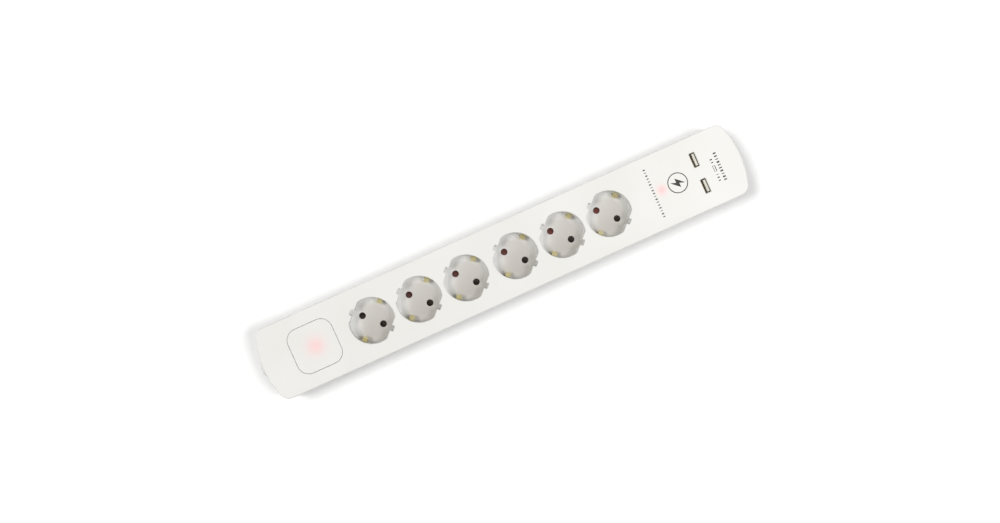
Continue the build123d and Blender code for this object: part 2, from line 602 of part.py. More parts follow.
# Form of one socket cup, at the origin: flange, walls, floor, pivot for the shutter and spring peg
strap_outer = RECESS_RADIUS - STRAP_STANDOFF
strap_inner = strap_outer - STRAP_THICKNESS
peg_angle = SOCKET_ANGLE + LEAF_PEG_ANGLE
peg_radius = PIN_SPACING / 2
with BuildPart() as cup_form:
    with BuildSketch(Plane.XY.offset(CUP_BOTTOM_Z)):
        add(cup_plan.sketch)
    extrude(amount=UNDER_TOP_Z - CUP_BOTTOM_Z)
    with BuildSketch(Plane.XY.offset(UNDER_TOP_Z)):
        flange_side = SOCKET_PITCH - FLANGE_CLEARANCE
        RectangleRounded(flange_side, flange_side, FLANGE_CORNER)
    extrude(amount=-FLANGE_THICKNESS)
    with BuildSketch(Plane.XY.offset(SOCKET_FLOOR_Z)):
        add(recess_plan.sketch)
    extrude(amount=UNDER_TOP_Z - SOCKET_FLOOR_Z, mode=Mode.SUBTRACT)
    with BuildSketch(Plane.XY.offset(CUP_BOTTOM_Z)):
        with PolarLocations(PIN_SPACING / 2, 2, start_angle=SOCKET_ANGLE):
            Circle(PIN_HOLE_RADIUS)
        with PolarLocations((strap_outer + strap_inner) / 2, 2, start_angle=SOCKET_ANGLE - 90):
            Rectangle(
                STRAP_THICKNESS + 2 * CLIP_SLOT_CLEARANCE, STRAP_WIDTH + 2 * CLIP_SLOT_CLEARANCE
            )
    extrude(amount=CUP_FLOOR, mode=Mode.SUBTRACT)
    with BuildSketch(Plane.XY.offset(CUP_BOTTOM_Z)):
        Circle(PIVOT_RADIUS)
    extrude(amount=-(CUP_BOTTOM_Z - STRAP_TOP_Z))
    with BuildSketch(Plane.XY.offset(STRAP_TOP_Z)):
        Circle(STAKE_RADIUS)
    extrude(amount=-(STRAP_THICKNESS + BUS_THICKNESS))
    with BuildSketch(Plane.XY.offset(CUP_BOTTOM_Z)):
        with PolarLocations(peg_radius, 1, start_angle=peg_angle):
            Circle(LEAF_PEG_RADIUS)
    extrude(amount=-(CUP_BOTTOM_Z - SHUTTER_BOTTOM_Z))

# Form of one shutter: a hub on the pivot and two wings whose ramps turn it when both pins press
wing_plane = Plane(origin=(0, 0, 0), x_dir=(-PIN_Y, PIN_X, 0), z_dir=(PIN_X, PIN_Y, 0))
half_wing = SHUTTER_WING_WIDTH / 2
with BuildPart() as shutter_form:
    with BuildSketch(wing_plane):
        with BuildLine():
            Polyline(
                (-half_wing, SHUTTER_BOTTOM_Z),
                (half_wing, SHUTTER_BOTTOM_Z),
                (half_wing, SHUTTER_TOP_Z),
                (half_wing - SHUTTER_RAMP_LIP, SHUTTER_TOP_Z),
                (-half_wing, SHUTTER_TOP_Z - SHUTTER_RAMP_DROP),
                close=True,
            )
        make_face()
    extrude(amount=SHUTTER_REACH)
    with BuildSketch(wing_plane):
        with BuildLine():
            Polyline(
                (half_wing, SHUTTER_BOTTOM_Z),
                (-half_wing, SHUTTER_BOTTOM_Z),
                (-half_wing, SHUTTER_TOP_Z),
                (SHUTTER_RAMP_LIP - half_wing, SHUTTER_TOP_Z),
                (half_wing, SHUTTER_TOP_Z - SHUTTER_RAMP_DROP),
                close=True,
            )
        make_face()
    extrude(amount=-SHUTTER_REACH)
    with BuildSketch(Plane.XY.offset(SHUTTER_BOTTOM_Z)):
        Circle(SHUTTER_HUB_RADIUS)
    extrude(amount=SHUTTER_HEIGHT)
    with BuildSketch(Plane.XY.offset(SHUTTER_BOTTOM_Z)):
        Circle(PIVOT_RADIUS + PIVOT_CLEARANCE)
    extrude(amount=SHUTTER_HEIGHT, mode=Mode.SUBTRACT)

# Form of one shutter spring: a bent leaf between the wing's side and the peg
spring_mid_z = (SHUTTER_BOTTOM_Z + SHUTTER_TOP_Z) / 2
spring_plane = Plane(
    origin=(0, 0, spring_mid_z - LEAF_SPRING_HEIGHT / 2), x_dir=(PIN_X, PIN_Y, 0), z_dir=(0, 0, 1)
)
leg_offset = half_wing + LEAF_SPRING_CLEARANCE
bend_u = SHUTTER_HUB_RADIUS + LEAF_SPRING_BEND + LEAF_SPRING_THICKNESS
peg_u = peg_radius * cos(radians(LEAF_PEG_ANGLE))
peg_v = peg_radius * sin(radians(LEAF_PEG_ANGLE))
with BuildPart() as spring_form:
    with BuildSketch(spring_plane):
        with BuildLine():
            FilletPolyline(
                (SHUTTER_REACH - half_wing / 2, leg_offset),
                (bend_u, leg_offset),
                (peg_u + LEAF_PEG_RADIUS + LEAF_SPRING_CLEARANCE, peg_v + LEAF_PEG_RADIUS),
                radius=LEAF_SPRING_BEND,
            )
            offset(amount=LEAF_SPRING_THICKNESS, side=Side.RIGHT)
        make_face()
    extrude(amount=LEAF_SPRING_HEIGHT)

# Form of one earth strap: a flat foot under the shutter and two sprung clips up the walls
clip_top = RECESS_RADIUS - CLIP_TOP_CLEARANCE
clip_floor_z = SOCKET_FLOOR_Z + STRAP_BEND
with BuildPart() as strap_form:
    with BuildSketch(STRAP_PLANE):
        with BuildLine():
            FilletPolyline(
                (-clip_top, TOP_Z - CLIP_TOP_DROP),
                (-CLIP_REACH - STRAP_THICKNESS, TOP_Z - CLIP_BULGE_DROP),
                (-strap_outer, clip_floor_z),
                (-strap_outer, BUS_TOP_Z),
                (strap_outer, BUS_TOP_Z),
                (strap_outer, clip_floor_z),
                (CLIP_REACH + STRAP_THICKNESS, TOP_Z - CLIP_BULGE_DROP),
                (clip_top, TOP_Z - CLIP_TOP_DROP),
                radius=STRAP_BEND,
            )
            offset(amount=STRAP_THICKNESS, side=Side.LEFT)
        make_face()
    extrude(amount=STRAP_WIDTH / 2, both=True)
    with BuildSketch(Plane.XY.offset(BUS_TOP_Z)):
        Circle(STAKE_RADIUS + STAKE_CLEARANCE)
    extrude(amount=STRAP_THICKNESS, mode=Mode.SUBTRACT)

for number, socket_x in enumerate(SOCKET_XS, start=1):
    with BuildPart() as socket_cup:
        with Locations((socket_x, 0, 0)):
            add(cup_form.part)
    save(socket_cup, f"socket_cup_{number}")
    with BuildPart() as shutter:
        with Locations((socket_x, 0, 0)):
            add(shutter_form.part)
    save(shutter, f"shutter_{number}")
    with BuildPart() as shutter_spring:
        with Locations((socket_x, 0, 0)):
            add(spring_form.part)
    save(shutter_spring, f"shutter_spring_{number}")
    with BuildPart() as earth_strap:
        with Locations((socket_x, 0, 0)):
            add(strap_form.part)
    save(earth_strap, f"earth_strap_{number}")

# Earth bus under the straps, staked on the cups' pivots, with a tab up to the board
with BuildPart() as earth_bus:
    bus_left = FIRST_SOCKET_X - BUS_WIDTH
    with BuildSketch(Plane.XY.offset(BUS_BOTTOM_Z)):
        with Locations(((bus_left + RAIL_RIGHT) / 2, 0)):
            Rectangle(RAIL_RIGHT - bus_left, BUS_WIDTH)
        with Locations(*[(x, 0) for x in SOCKET_XS]):
            Circle(STAKE_RADIUS + STAKE_CLEARANCE, mode=Mode.SUBTRACT)
    extrude(amount=BUS_THICKNESS)
    with BuildSketch(Plane.XY.offset(BUS_BOTTOM_Z)):
        with Locations((RAIL_RIGHT - BUS_THICKNESS / 2, 0)):
            Rectangle(BUS_THICKNESS, BUS_WIDTH)
    extrude(amount=BOARD_BOTTOM_Z - BUS_BOTTOM_Z)
save(earth_bus, "earth_bus")

# Form of one pin contact: two leaves that pinch the pin and flare at the mouth
with BuildPart() as contact_form:
    with BuildSketch(Plane.YZ.offset(-LEAF_LENGTH / 2)):
        with BuildLine():
            Polyline(
                (LEAF_ROOT_GAP, RAIL_TOP_Z),
                (LEAF_PINCH_GAP, LEAF_TOP_Z - LEAF_MOUTH_DROP),
                (LEAF_MOUTH_GAP, LEAF_TOP_Z),
                (LEAF_MOUTH_GAP + LEAF_THICKNESS, LEAF_TOP_Z),
                (LEAF_PINCH_GAP + LEAF_THICKNESS, LEAF_TOP_Z - LEAF_MOUTH_DROP),
                (LEAF_ROOT_GAP + LEAF_THICKNESS, RAIL_TOP_Z),
                close=True,
            )
        make_face()
        mirror(about=Plane.YZ)
    extrude(amount=LEAF_LENGTH)

# Live and neutral rails: a strip from the switch to the board with a contact at each socket
for rail_name, side in (("live_rail", 1), ("neutral_rail", -1)):
    rail_y = side * PIN_OFFSET_Y
    with BuildPart() as rail:
        with BuildSketch(Plane.XY.offset(RAIL_BOTTOM_Z)):
            with Locations(((RAIL_LEFT + RAIL_RIGHT) / 2, rail_y)):
                Rectangle(RAIL_RIGHT - RAIL_LEFT, RAIL_WIDTH)
        extrude(amount=RAIL_THICKNESS)
        with BuildSketch(Plane.XY.offset(RAIL_BOTTOM_Z)):
            with Locations((RAIL_LEFT + RAIL_THICKNESS / 2, rail_y)):
                Rectangle(RAIL_THICKNESS, RAIL_WIDTH)
        extrude(amount=TERMINAL_Z + TERMINAL_THICKNESS - RAIL_BOTTOM_Z)
        with BuildSketch(Plane.XY.offset(RAIL_BOTTOM_Z)):
            with Locations((RAIL_RIGHT - RAIL_THICKNESS / 2, rail_y)):
                Rectangle(RAIL_THICKNESS, RAIL_WIDTH)
        extrude(amount=BOARD_BOTTOM_Z - RAIL_BOTTOM_Z)
        with Locations(*[(x + side * PIN_OFFSET_X, rail_y, 0) for x in SOCKET_XS]):
            add(contact_form.part)
    save(rail, rail_name)

# Push button: a flush cap with a skirt, a stop flange and a tube around the lamp
button_side = SWITCH_OPENING - 2 * SWITCH_GAP
button_corner = SWITCH_CORNER - SWITCH_GAP
stop_top_z = UNDER_TOP_Z - SWITCH_COLLAR_DEPTH - BUTTON_STOP_CLEARANCE
stop_bottom_z = stop_top_z - BUTTON_STOP_HEIGHT
tube_inner = LAMP_POST_RADIUS + TUBE_RUNNING_CLEARANCE
tube_bottom_z = SWITCH_BODY_TOP_Z + SWITCH_TRAVEL + TUBE_END_CLEARANCE
with BuildPart() as switch_button:
    with BuildSketch(Plane.XY.offset(TOP_Z)):
        with Locations((SWITCH_X, 0)):
            RectangleRounded(button_side, button_side, button_corner)
    extrude(amount=stop_bottom_z - TOP_Z)
    fillet(switch_button.faces().sort_by(Axis.Z)[-1].edges(), BUTTON_EDGE_RADIUS)
    with BuildSketch(Plane.XY.offset(stop_bottom_z)):
        with Locations((SWITCH_X, 0)):
            stop_side = button_side + 2 * BUTTON_STOP_WIDTH
            RectangleRounded(stop_side, stop_side, button_corner + BUTTON_STOP_WIDTH)
    extrude(amount=BUTTON_STOP_HEIGHT)
    with BuildSketch(Plane.XY.offset(CAP_UNDER_Z)):
        with Locations((SWITCH_X, 0)):
            inner_side = button_side - 2 * BUTTON_WALL
            RectangleRounded(inner_side, inner_side, button_corner - BUTTON_WALL)
    extrude(amount=stop_bottom_z - CAP_UNDER_Z, mode=Mode.SUBTRACT)
    with BuildSketch(Plane.XY.offset(CAP_UNDER_Z)):
        with Locations((SWITCH_X, 0)):
            Circle(tube_inner + TUBE_WALL)
            Circle(tube_inner, mode=Mode.SUBTRACT)
    extrude(amount=tube_bottom_z - CAP_UNDER_Z)
save(switch_button, "switch_button")

# Switch body with the post that guides the button and carries the lamp
with BuildPart() as switch_body:
    with BuildSketch(Plane.XY.offset(FLOOR_Z)):
        with Locations((SWITCH_X, 0)):
            Rectangle(SWITCH_BODY_LENGTH, SWITCH_BODY_WIDTH)
    extrude(amount=SWITCH_BODY_HEIGHT)
    with BuildSketch(Plane.XY.offset(SWITCH_BODY_TOP_Z)):
        with Locations((SWITCH_X, 0)):
            Circle(LAMP_POST_RADIUS)
    extrude(amount=LAMP_POST_TOP_Z - SWITCH_BODY_TOP_Z)
save(switch_body, "switch_body")

# Lamp on the post: a flanged capsule with a domed end
with BuildPart() as switch_lamp:
    with BuildSketch(Plane.XY.offset(LAMP_POST_TOP_Z)):
        with Locations((SWITCH_X, 0)):
            Circle(LAMP_FLANGE_RADIUS)
    extrude(amount=LAMP_FLANGE_HEIGHT)
    with BuildSketch(Plane.XY.offset(LAMP_POST_TOP_Z)):
        with Locations((SWITCH_X, 0)):
            Circle(LAMP_RADIUS)
    extrude(amount=LAMP_HEIGHT)
    fillet(switch_lamp.edges().group_by(Axis.Z)[-1], LAMP_RADIUS - LAMP_FLAT_RADIUS)
save(switch_lamp, "switch_lamp")

# Blade terminals on both ends of the switch body
terminal_x = SWITCH_BODY_LENGTH / 2 + TERMINAL_LENGTH / 2
with BuildPart() as switch_terminals:
    with BuildSketch(Plane.XY.offset(TERMINAL_Z)):
        with Locations((SWITCH_X, 0)):
            with GridLocations(2 * terminal_x, 2 * PIN_OFFSET_Y, 2, 2):
                Rectangle(TERMINAL_LENGTH, RAIL_WIDTH)
    extrude(amount=TERMINAL_THICKNESS)
save(switch_terminals, "switch_terminals")

# Return spring of the button: flat wire wound around the button's tube
coil_radius = tube_inner + TUBE_WALL + COIL_CLEARANCE + COIL_WIRE_WIDTH / 2
coil_height = CAP_UNDER_Z - SWITCH_BODY_TOP_Z - COIL_WIRE_HEIGHT
with BuildPart() as switch_spring:
    with BuildLine(Plane(origin=(SWITCH_X, 0, SWITCH_BODY_TOP_Z + COIL_WIRE_HEIGHT / 2))) as coil_path:
        Helix(pitch=coil_height / COIL_TURNS, height=coil_height, radius=coil_radius)
    with BuildSketch(Plane(origin=coil_path.line @ 0, x_dir=(1, 0, 0), z_dir=(0, 1, 0))):
        Rectangle(COIL_WIRE_WIDTH, COIL_WIRE_HEIGHT)
    sweep(path=coil_path.line, is_frenet=True)
save(switch_spring, "switch_spring")

# Surge board on its four posts
with BuildPart() as circuit_board:
    with BuildSketch(Plane.XY.offset(BOARD_BOTTOM_Z)):
        with Locations((BOARD_MIDDLE, 0)):
            Rectangle(BOARD_LENGTH, BOARD_WIDTH)
        with Locations(*BOARD_POST_SPOTS):
            Circle(BOARD_PIP_RADIUS + BOARD_PIP_CLEARANCE, mode=Mode.SUBTRACT)
    extrude(amount=BOARD_THICKNESS)
save(circuit_board, "circuit_board")

# Charging ports: a folded metal frame with spring windows and the contact tongue inside it
window_z = BOARD_TOP_Z + PORT_HEIGHT - PORT_WINDOW_DROP - PORT_WINDOW_LENGTH / 2
for number, port_y in enumerate(PORT_YS, start=1):
    with BuildPart() as port_frame:
        with BuildSketch(Plane.XY.offset(BOARD_TOP_Z)):
            with Locations((PORT_X, port_y)):
                RectangleRounded(PORT_WIDTH, PORT_LENGTH, PORT_CORNER)
                RectangleRounded(
                    PORT_WIDTH - 2 * PORT_SHEET, PORT_LENGTH - 2 * PORT_SHEET, PORT_CORNER - PORT_SHEET,
                    mode=Mode.SUBTRACT,
                )
        extrude(amount=PORT_HEIGHT)
        with BuildSketch(Plane.YZ.offset(PORT_X)):
            with Locations((port_y, window_z)):
                with GridLocations(PORT_WINDOW_SPACING, 0, 2, 1):
                    Rectangle(PORT_WINDOW_WIDTH, PORT_WINDOW_LENGTH)
        extrude(amount=PORT_WIDTH, both=True, mode=Mode.SUBTRACT)
    save(port_frame, f"port_frame_{number}")
    with BuildPart() as port_tongue:
        with BuildSketch(Plane.XY.offset(BOARD_TOP_Z)):
            with Locations((PORT_X, port_y)):
                block_margin = 2 * (PORT_SHEET + TONGUE_CLEARANCE)
                RectangleRounded(
                    PORT_WIDTH - block_margin, PORT_LENGTH - block_margin, PORT_CORNER - PORT_SHEET
                )
        extrude(amount=TONGUE_BLOCK_HEIGHT)
        with BuildSketch(Plane.XY.offset(BOARD_TOP_Z)):
            with Locations((PORT_X + TONGUE_OFFSET, port_y)):
                Rectangle(TONGUE_THICKNESS, TONGUE_LENGTH)
        extrude(amount=PORT_HEIGHT - TONGUE_SINK)
    save(port_tongue, f"port_tongue_{number}")

# Varistors: upright discs on two legs each, in a row across the board
varistor_x = BOARD_LEFT + VARISTOR_INSET
varistor_z = BOARD_TOP_Z + VARISTOR_LEG_HEIGHT + VARISTOR_DIAMETER / 2
with BuildPart() as varistors:
    with BuildSketch(Plane.YZ.offset(varistor_x - VARISTOR_THICKNESS / 2)):
        with Locations((0, varistor_z)):
            with GridLocations(VARISTOR_SPACING, 0, VARISTOR_COUNT, 1):
                Circle(VARISTOR_DIAMETER / 2)
    extrude(amount=VARISTOR_THICKNESS)
    fillet(varistors.edges().filter_by(GeomType.CIRCLE), VARISTOR_EDGE_RADIUS)
    with BuildSketch(Plane.XY.offset(BOARD_TOP_Z)):
        with Locations((varistor_x, 0)):
            with GridLocations(0, VARISTOR_SPACING, 1, VARISTOR_COUNT):
                with GridLocations(0, VARISTOR_DIAMETER / 2, 1, 2):
                    Rectangle(VARISTOR_LEG_WIDTH, VARISTOR_LEG_WIDTH)
    extrude(amount=VARISTOR_LEG_HEIGHT + VARISTOR_DIAMETER / 2)
save(varistors, "varistors")

# Thermal fuse lying across the board beside the varistors, with its two leads
fuse_x = varistor_x + VARISTOR_THICKNESS / 2 + 2 * FUSE_RADIUS
fuse_y = BOARD_WIDTH / 2 - BOARD_HOLE_INSET - FUSE_LENGTH
fuse_z = BOARD_TOP_Z + FUSE_RADIUS
lead_start = (fuse_x, FUSE_LEAD_REACH - fuse_y)
lead_end = (fuse_x, -fuse_y - FUSE_LENGTH - FUSE_LEAD_REACH)
with BuildPart() as thermal_fuse:
    with BuildSketch(Plane.XZ.offset(fuse_y)):
        with Locations((fuse_x, fuse_z)):
            Circle(FUSE_RADIUS)
    extrude(amount=FUSE_LENGTH)
    with BuildLine() as lead_path:
        FilletPolyline(
            (*lead_start, BOARD_TOP_Z),
            (*lead_start, fuse_z),
            (*lead_end, fuse_z),
            (*lead_end, BOARD_TOP_Z),
            radius=FUSE_LEAD_BEND,
        )
    with BuildSketch(Plane(origin=lead_path.line @ 0, z_dir=lead_path.line % 0)):
        Circle(FUSE_LEAD_RADIUS)
    sweep(path=lead_path.line)
save(thermal_fuse, "thermal_fuse")

# Smoothing capacitors, two cans side by side
can_x = (INDICATOR_X + PORT_X) / 2
with BuildPart() as capacitors:
    with BuildSketch(Plane.XY.offset(BOARD_TOP_Z)):
        with Locations((can_x, -BOARD_WIDTH / 4)):
            with GridLocations(CAPACITOR_SPACING, 0, 2, 1):
                Circle(CAPACITOR_RADIUS)
    extrude(amount=CAPACITOR_HEIGHT)
    fillet(capacitors.edges().group_by(Axis.Z)[-1], CAPACITOR_EDGE_RADIUS)
save(capacitors, "capacitors")

# Transformer of the charger: a core between two bobbin flanges
with BuildPart() as transformer:
    with BuildSketch(Plane.XY.offset(BOARD_TOP_Z)):
        with Locations((can_x, BOARD_WIDTH / 4)):
            Rectangle(TRANSFORMER_LENGTH, TRANSFORMER_WIDTH)
    extrude(amount=TRANSFORMER_FLANGE)
    with BuildSketch(Plane.XY.offset(BOARD_TOP_Z)):
        with Locations((can_x, BOARD_WIDTH / 4)):
            core_margin = 2 * TRANSFORMER_FLANGE
            Rectangle(TRANSFORMER_LENGTH - core_margin, TRANSFORMER_WIDTH - core_margin)
    extrude(amount=TRANSFORMER_HEIGHT)
    with BuildSketch(Plane.XY.offset(BOARD_TOP_Z + TRANSFORMER_HEIGHT - TRANSFORMER_FLANGE)):
        with Locations((can_x, BOARD_WIDTH / 4)):
            Rectangle(TRANSFORMER_LENGTH, TRANSFORMER_WIDTH)
    extrude(amount=TRANSFORMER_FLANGE)
save(transformer, "transformer")

# Indicator lamp on the board and the light pipe from it to the cover's thin skin
with BuildPart() as indicator_led:
    with BuildSketch(Plane.XY.offset(BOARD_TOP_Z)):
        with Locations((INDICATOR_X, 0)):
            Circle(LED_RADIUS)
    extrude(amount=LED_HEIGHT)
    fillet(indicator_led.edges().group_by(Axis.Z)[-1], LED_RADIUS - LED_FLAT_RADIUS)
save(indicator_led, "indicator_led")

with BuildPart() as light_pipe:
    with BuildSketch(Plane.XY.offset(BOARD_TOP_Z + LED_HEIGHT + PIPE_LED_GAP)):
        with Locations((INDICATOR_X, 0)):
            Circle(PIPE_RADIUS)
    extrude(amount=TOP_Z - PIPE_SKIN - BOARD_TOP_Z - LED_HEIGHT - PIPE_LED_GAP)
save(light_pipe, "light_pipe")
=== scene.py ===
"""Looks of a six-outlet surge protector strip: finishes, printed marks, fine fittings and a stage."""

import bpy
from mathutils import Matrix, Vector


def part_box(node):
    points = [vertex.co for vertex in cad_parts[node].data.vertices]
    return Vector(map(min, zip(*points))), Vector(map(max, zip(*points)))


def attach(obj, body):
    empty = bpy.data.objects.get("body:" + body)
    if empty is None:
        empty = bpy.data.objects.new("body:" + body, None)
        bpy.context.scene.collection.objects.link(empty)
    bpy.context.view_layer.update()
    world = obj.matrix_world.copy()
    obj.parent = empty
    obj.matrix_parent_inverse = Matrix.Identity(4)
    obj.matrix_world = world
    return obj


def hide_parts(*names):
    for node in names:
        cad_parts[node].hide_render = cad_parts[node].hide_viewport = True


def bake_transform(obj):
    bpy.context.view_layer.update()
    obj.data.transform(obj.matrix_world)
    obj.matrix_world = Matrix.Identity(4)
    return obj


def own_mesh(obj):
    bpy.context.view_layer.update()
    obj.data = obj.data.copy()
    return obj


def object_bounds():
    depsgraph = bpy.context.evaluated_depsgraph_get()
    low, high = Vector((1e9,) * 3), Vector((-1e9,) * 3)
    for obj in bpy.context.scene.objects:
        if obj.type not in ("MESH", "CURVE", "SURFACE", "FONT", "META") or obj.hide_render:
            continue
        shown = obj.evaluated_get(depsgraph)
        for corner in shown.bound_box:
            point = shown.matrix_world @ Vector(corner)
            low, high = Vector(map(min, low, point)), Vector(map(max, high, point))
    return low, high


bl_info = {
    "name": "Surge Protector Strip",
    "version": (1, 0, 0),
    "blender": (4, 5, 0),
    "location": "View3D > Sidebar > Power Strip",
    "description": "Finishes, printed marks, fine fittings and a studio stage for a power strip",
    "category": "Object",
}

from math import cos, pi, radians, sin, sqrt, tan

import bmesh
import bpy
from bpy.props import FloatProperty, FloatVectorProperty, IntProperty, PointerProperty
from bpy.types import Operator, Panel, PropertyGroup
from mathutils import Matrix, Vector

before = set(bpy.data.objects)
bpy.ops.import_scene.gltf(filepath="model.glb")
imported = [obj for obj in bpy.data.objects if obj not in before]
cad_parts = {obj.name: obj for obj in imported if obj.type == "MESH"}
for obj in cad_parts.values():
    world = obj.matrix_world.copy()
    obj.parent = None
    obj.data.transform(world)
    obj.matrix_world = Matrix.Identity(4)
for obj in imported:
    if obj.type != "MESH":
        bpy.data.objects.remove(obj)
CAD_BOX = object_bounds()

SOCKETS = range(1, 7)
PORTS = (1, 2)
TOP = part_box("top_cover")[1].z


def middle(node):
    """Middle of a solid's box."""
    low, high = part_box(node)
    return (low + high) / 2


# Settings that a user would change


def paint(red, green, blue):
    """A colour as a screen shows it, 0 to 255, turned into linear light."""
    shades = []
    for value in (red, green, blue):
        share = value / 255
        if share <= 0.04045:
            shades.append(share / 12.92)
        else:
            shades.append(((share + 0.055) / 1.055) ** 2.4)
    return tuple(shades)


def colour_setting(name, description, red, green, blue):
    """A colour, given as a screen shows it."""
    return FloatVectorProperty(
        name=name, description=description, subtype="COLOR", min=0, max=1, default=paint(red, green, blue)
    )


def length_setting(name, description, default, **limits):
    """A length in metres, within limits if there are any."""
    return FloatProperty(name=name, description=description, unit="LENGTH", default=default, **limits)


def share_setting(name, description, default):
    """A share, from nought to one."""
    return FloatProperty(name=name, description=description, min=0, max=1, default=default)


def level_setting(name, description, default):
    """A strength of light."""
    return FloatProperty(name=name, description=description, min=0, default=default)


def count_setting(name, description, default, least=1):
    """A number of like things."""
    return IntProperty(name=name, description=description, min=least, default=default)


class StripColours(PropertyGroup):
    """Colours of the strip's surfaces."""

    casing_white: colour_setting("Casing White", "Moulded covers and switch button", 238, 237, 233)
    casing_shade: colour_setting("Casing Shade", "Faint clouding in the white covers", 234, 233, 228)
    # Painted light: the collar is painted paler than the casing white, making up for the shade it sits in
    # under the covers' edge
    collar_white_painted_light: colour_setting("Collar White", "Cord collar", 252, 252, 250)
    glow: colour_setting("Glow", "Red light that comes through the white covers", 248, 200, 201)
    cup_grey: colour_setting("Cup Grey", "Socket cups, on the far side", 207, 204, 200)
    # Painted shade: the cups' colour on the near side is darker, standing in for shade
    cup_painted_shade: colour_setting("Cup Shade", "Socket cups, on the near side", 174, 170, 163)
    # Painted light: the near white that the cups' upright walls and edges take, standing in for light
    cup_wall_painted_light: colour_setting("Cup Wall", "Polished walls of the socket cups", 248, 248, 247)
    shutter_brown: colour_setting("Shutter Brown", "Left wing of the last shutter", 112, 66, 60)
    # Painted shade: the right wings and the first left wing take this near black, standing in for shade in
    # the pin holes
    shutter_painted_shade: colour_setting(
        "Shutter Dark", "Right wings of the shutters, and the first left wing", 40, 31, 26
    )
    brass_pale: colour_setting("Brass Pale", "Bright brass of clips and rails", 252, 247, 216)
    brass_deep: colour_setting("Brass Deep", "Tarnished brass", 240, 229, 164)
    port_metal: colour_setting("Port Metal", "Folded frames of the charging ports", 242, 238, 226)
    tongue_cream: colour_setting("Tongue Cream", "Tongues in the charging ports", 217, 214, 203)
    contact_gold: colour_setting("Contact Gold", "Contact strips on the tongues", 226, 188, 104)
    ink: colour_setting("Ink", "Printed marks", 54, 53, 51)
    zinc: colour_setting("Zinc", "Screws", 196, 197, 199)
    spring_steel: colour_setting("Spring Steel", "Springs", 168, 170, 174)
    rubber: colour_setting("Rubber", "Feet", 62, 61, 60)
    black_plastic: colour_setting("Black Plastic", "Cord clamp", 40, 40, 41)
    insulator: colour_setting("Insulator", "Switch body", 224, 218, 202)
    laminate: colour_setting("Laminate", "Circuit board", 44, 104, 66)
    varistor_blue: colour_setting("Varistor Blue", "Dipped coating of the varistors", 48, 96, 158)
    fuse_body: colour_setting("Fuse Body", "Ceramic tube of the fuse", 228, 224, 212)
    can_sleeve: colour_setting("Can Sleeve", "Sleeves of the capacitors", 40, 43, 58)
    ferrite: colour_setting("Ferrite", "Core of the transformer", 56, 54, 54)
    lens_red: colour_setting("Lens Red", "Lamps under the covers", 214, 44, 40)
    pipe_clear: colour_setting("Pipe Clear", "Light pipe", 240, 244, 246)


class StripFinish(PropertyGroup):
    """Sizes of textures and glows."""

    casing_grain: length_setting(
        "Casing Grain", "Size of the covers' moulded texture", 0.00045, min=0.0001
    )
    casing_grain_depth: length_setting(
        "Casing Grain Depth", "Depth of the covers' moulded texture", 0.000006, min=0
    )
    cloud_size: length_setting(
        "Cloud Size", "Size of faint clouding in moulded plastic", 0.05, min=0.001
    )
    switch_glow_radius: length_setting(
        "Switch Glow Radius", "Spread of the light under the switch button", 0.0056, min=0.001
    )
    switch_glow_shift: length_setting(
        "Switch Glow Shift", "How far the glow lies from the button's middle", 0.0008
    )
    indicator_glow_radius: length_setting(
        "Indicator Glow Radius", "Spread of the light over the light pipe", 0.0028, min=0.0005
    )
    glow_level: share_setting("Glow Level", "Light given off in the middle of a full glow", 0.08)
    switch_glow: share_setting("Switch Glow", "Share of a full glow that the switch shows", 0.66)
    indicator_glow: share_setting("Indicator Glow", "Share of a full glow that the indicator shows", 0.9)


class StripPrint(PropertyGroup):
    """Sizes and places of the printed marks."""

    ink_height: length_setting("Ink Height", "Thickness of the printed ink", 0.00003, min=0.000005)
    ring_diameter: length_setting("Ring Diameter", "Outer diameter of the ring mark", 0.0176)
    ring_line: length_setting("Ring Line", "Width of the ring's line", 0.0008)
    ring_from_indicator: length_setting(
        "Ring from Indicator", "Distance of the ring from the indicator", 0.0147
    )
    bolt_height: length_setting("Bolt Height", "Height of the bolt sign in the ring", 0.0124)
    bar_height: length_setting("Bar Height", "Height of the bars in a row", 0.0020)
    bar_width: length_setting("Bar Width", "Mean width of the bars in a row", 0.0008)
    bar_step: length_setting("Bar Step", "Distance from one bar of a row to the next", 0.00265)
    long_row_count: count_setting("Long Row Count", "Bars in the row beside the sockets", 17)
    long_row_from_indicator: length_setting(
        "Long Row from Indicator", "Distance of the long row from the indicator", -0.0073
    )
    port_row_count: count_setting("Port Row Count", "Bars in the longer row beyond the ports", 10)
    port_row_from_ports: length_setting(
        "Port Row from Ports", "Distance of the longer row from the ports", 0.0178
    )
    rating_row_from_ports: length_setting(
        "Rating Row from Ports", "Distance of the row with the current sign from the ports", 0.0130
    )
    port_rows_aside: length_setting(
        "Port Rows Aside", "How far the rows beyond the ports lie to the near side", 0.0018
    )
    direct_current_length: length_setting(
        "Direct Current Length", "Length of the direct current sign", 0.0056
    )


class StripFittings(PropertyGroup):
    """Sizes of the screws' and contacts' fine detail."""

    thread_depth: length_setting("Thread Depth", "Depth of the screw thread", 0.00038)
    thread_pitch: length_setting("Thread Pitch", "Rise of the screw thread in one turn", 0.0013)
    cross_depth: length_setting("Cross Depth", "Depth of the cross recess in a screw head", 0.0013)
    contact_count: count_setting("Contact Count", "Contact strips on one tongue", 4, least=2)
    contact_width: length_setting("Contact Width", "Width of one contact strip", 0.0011)
    contact_proud: length_setting("Contact Proud", "How far a strip stands out of its tongue", 0.00012)


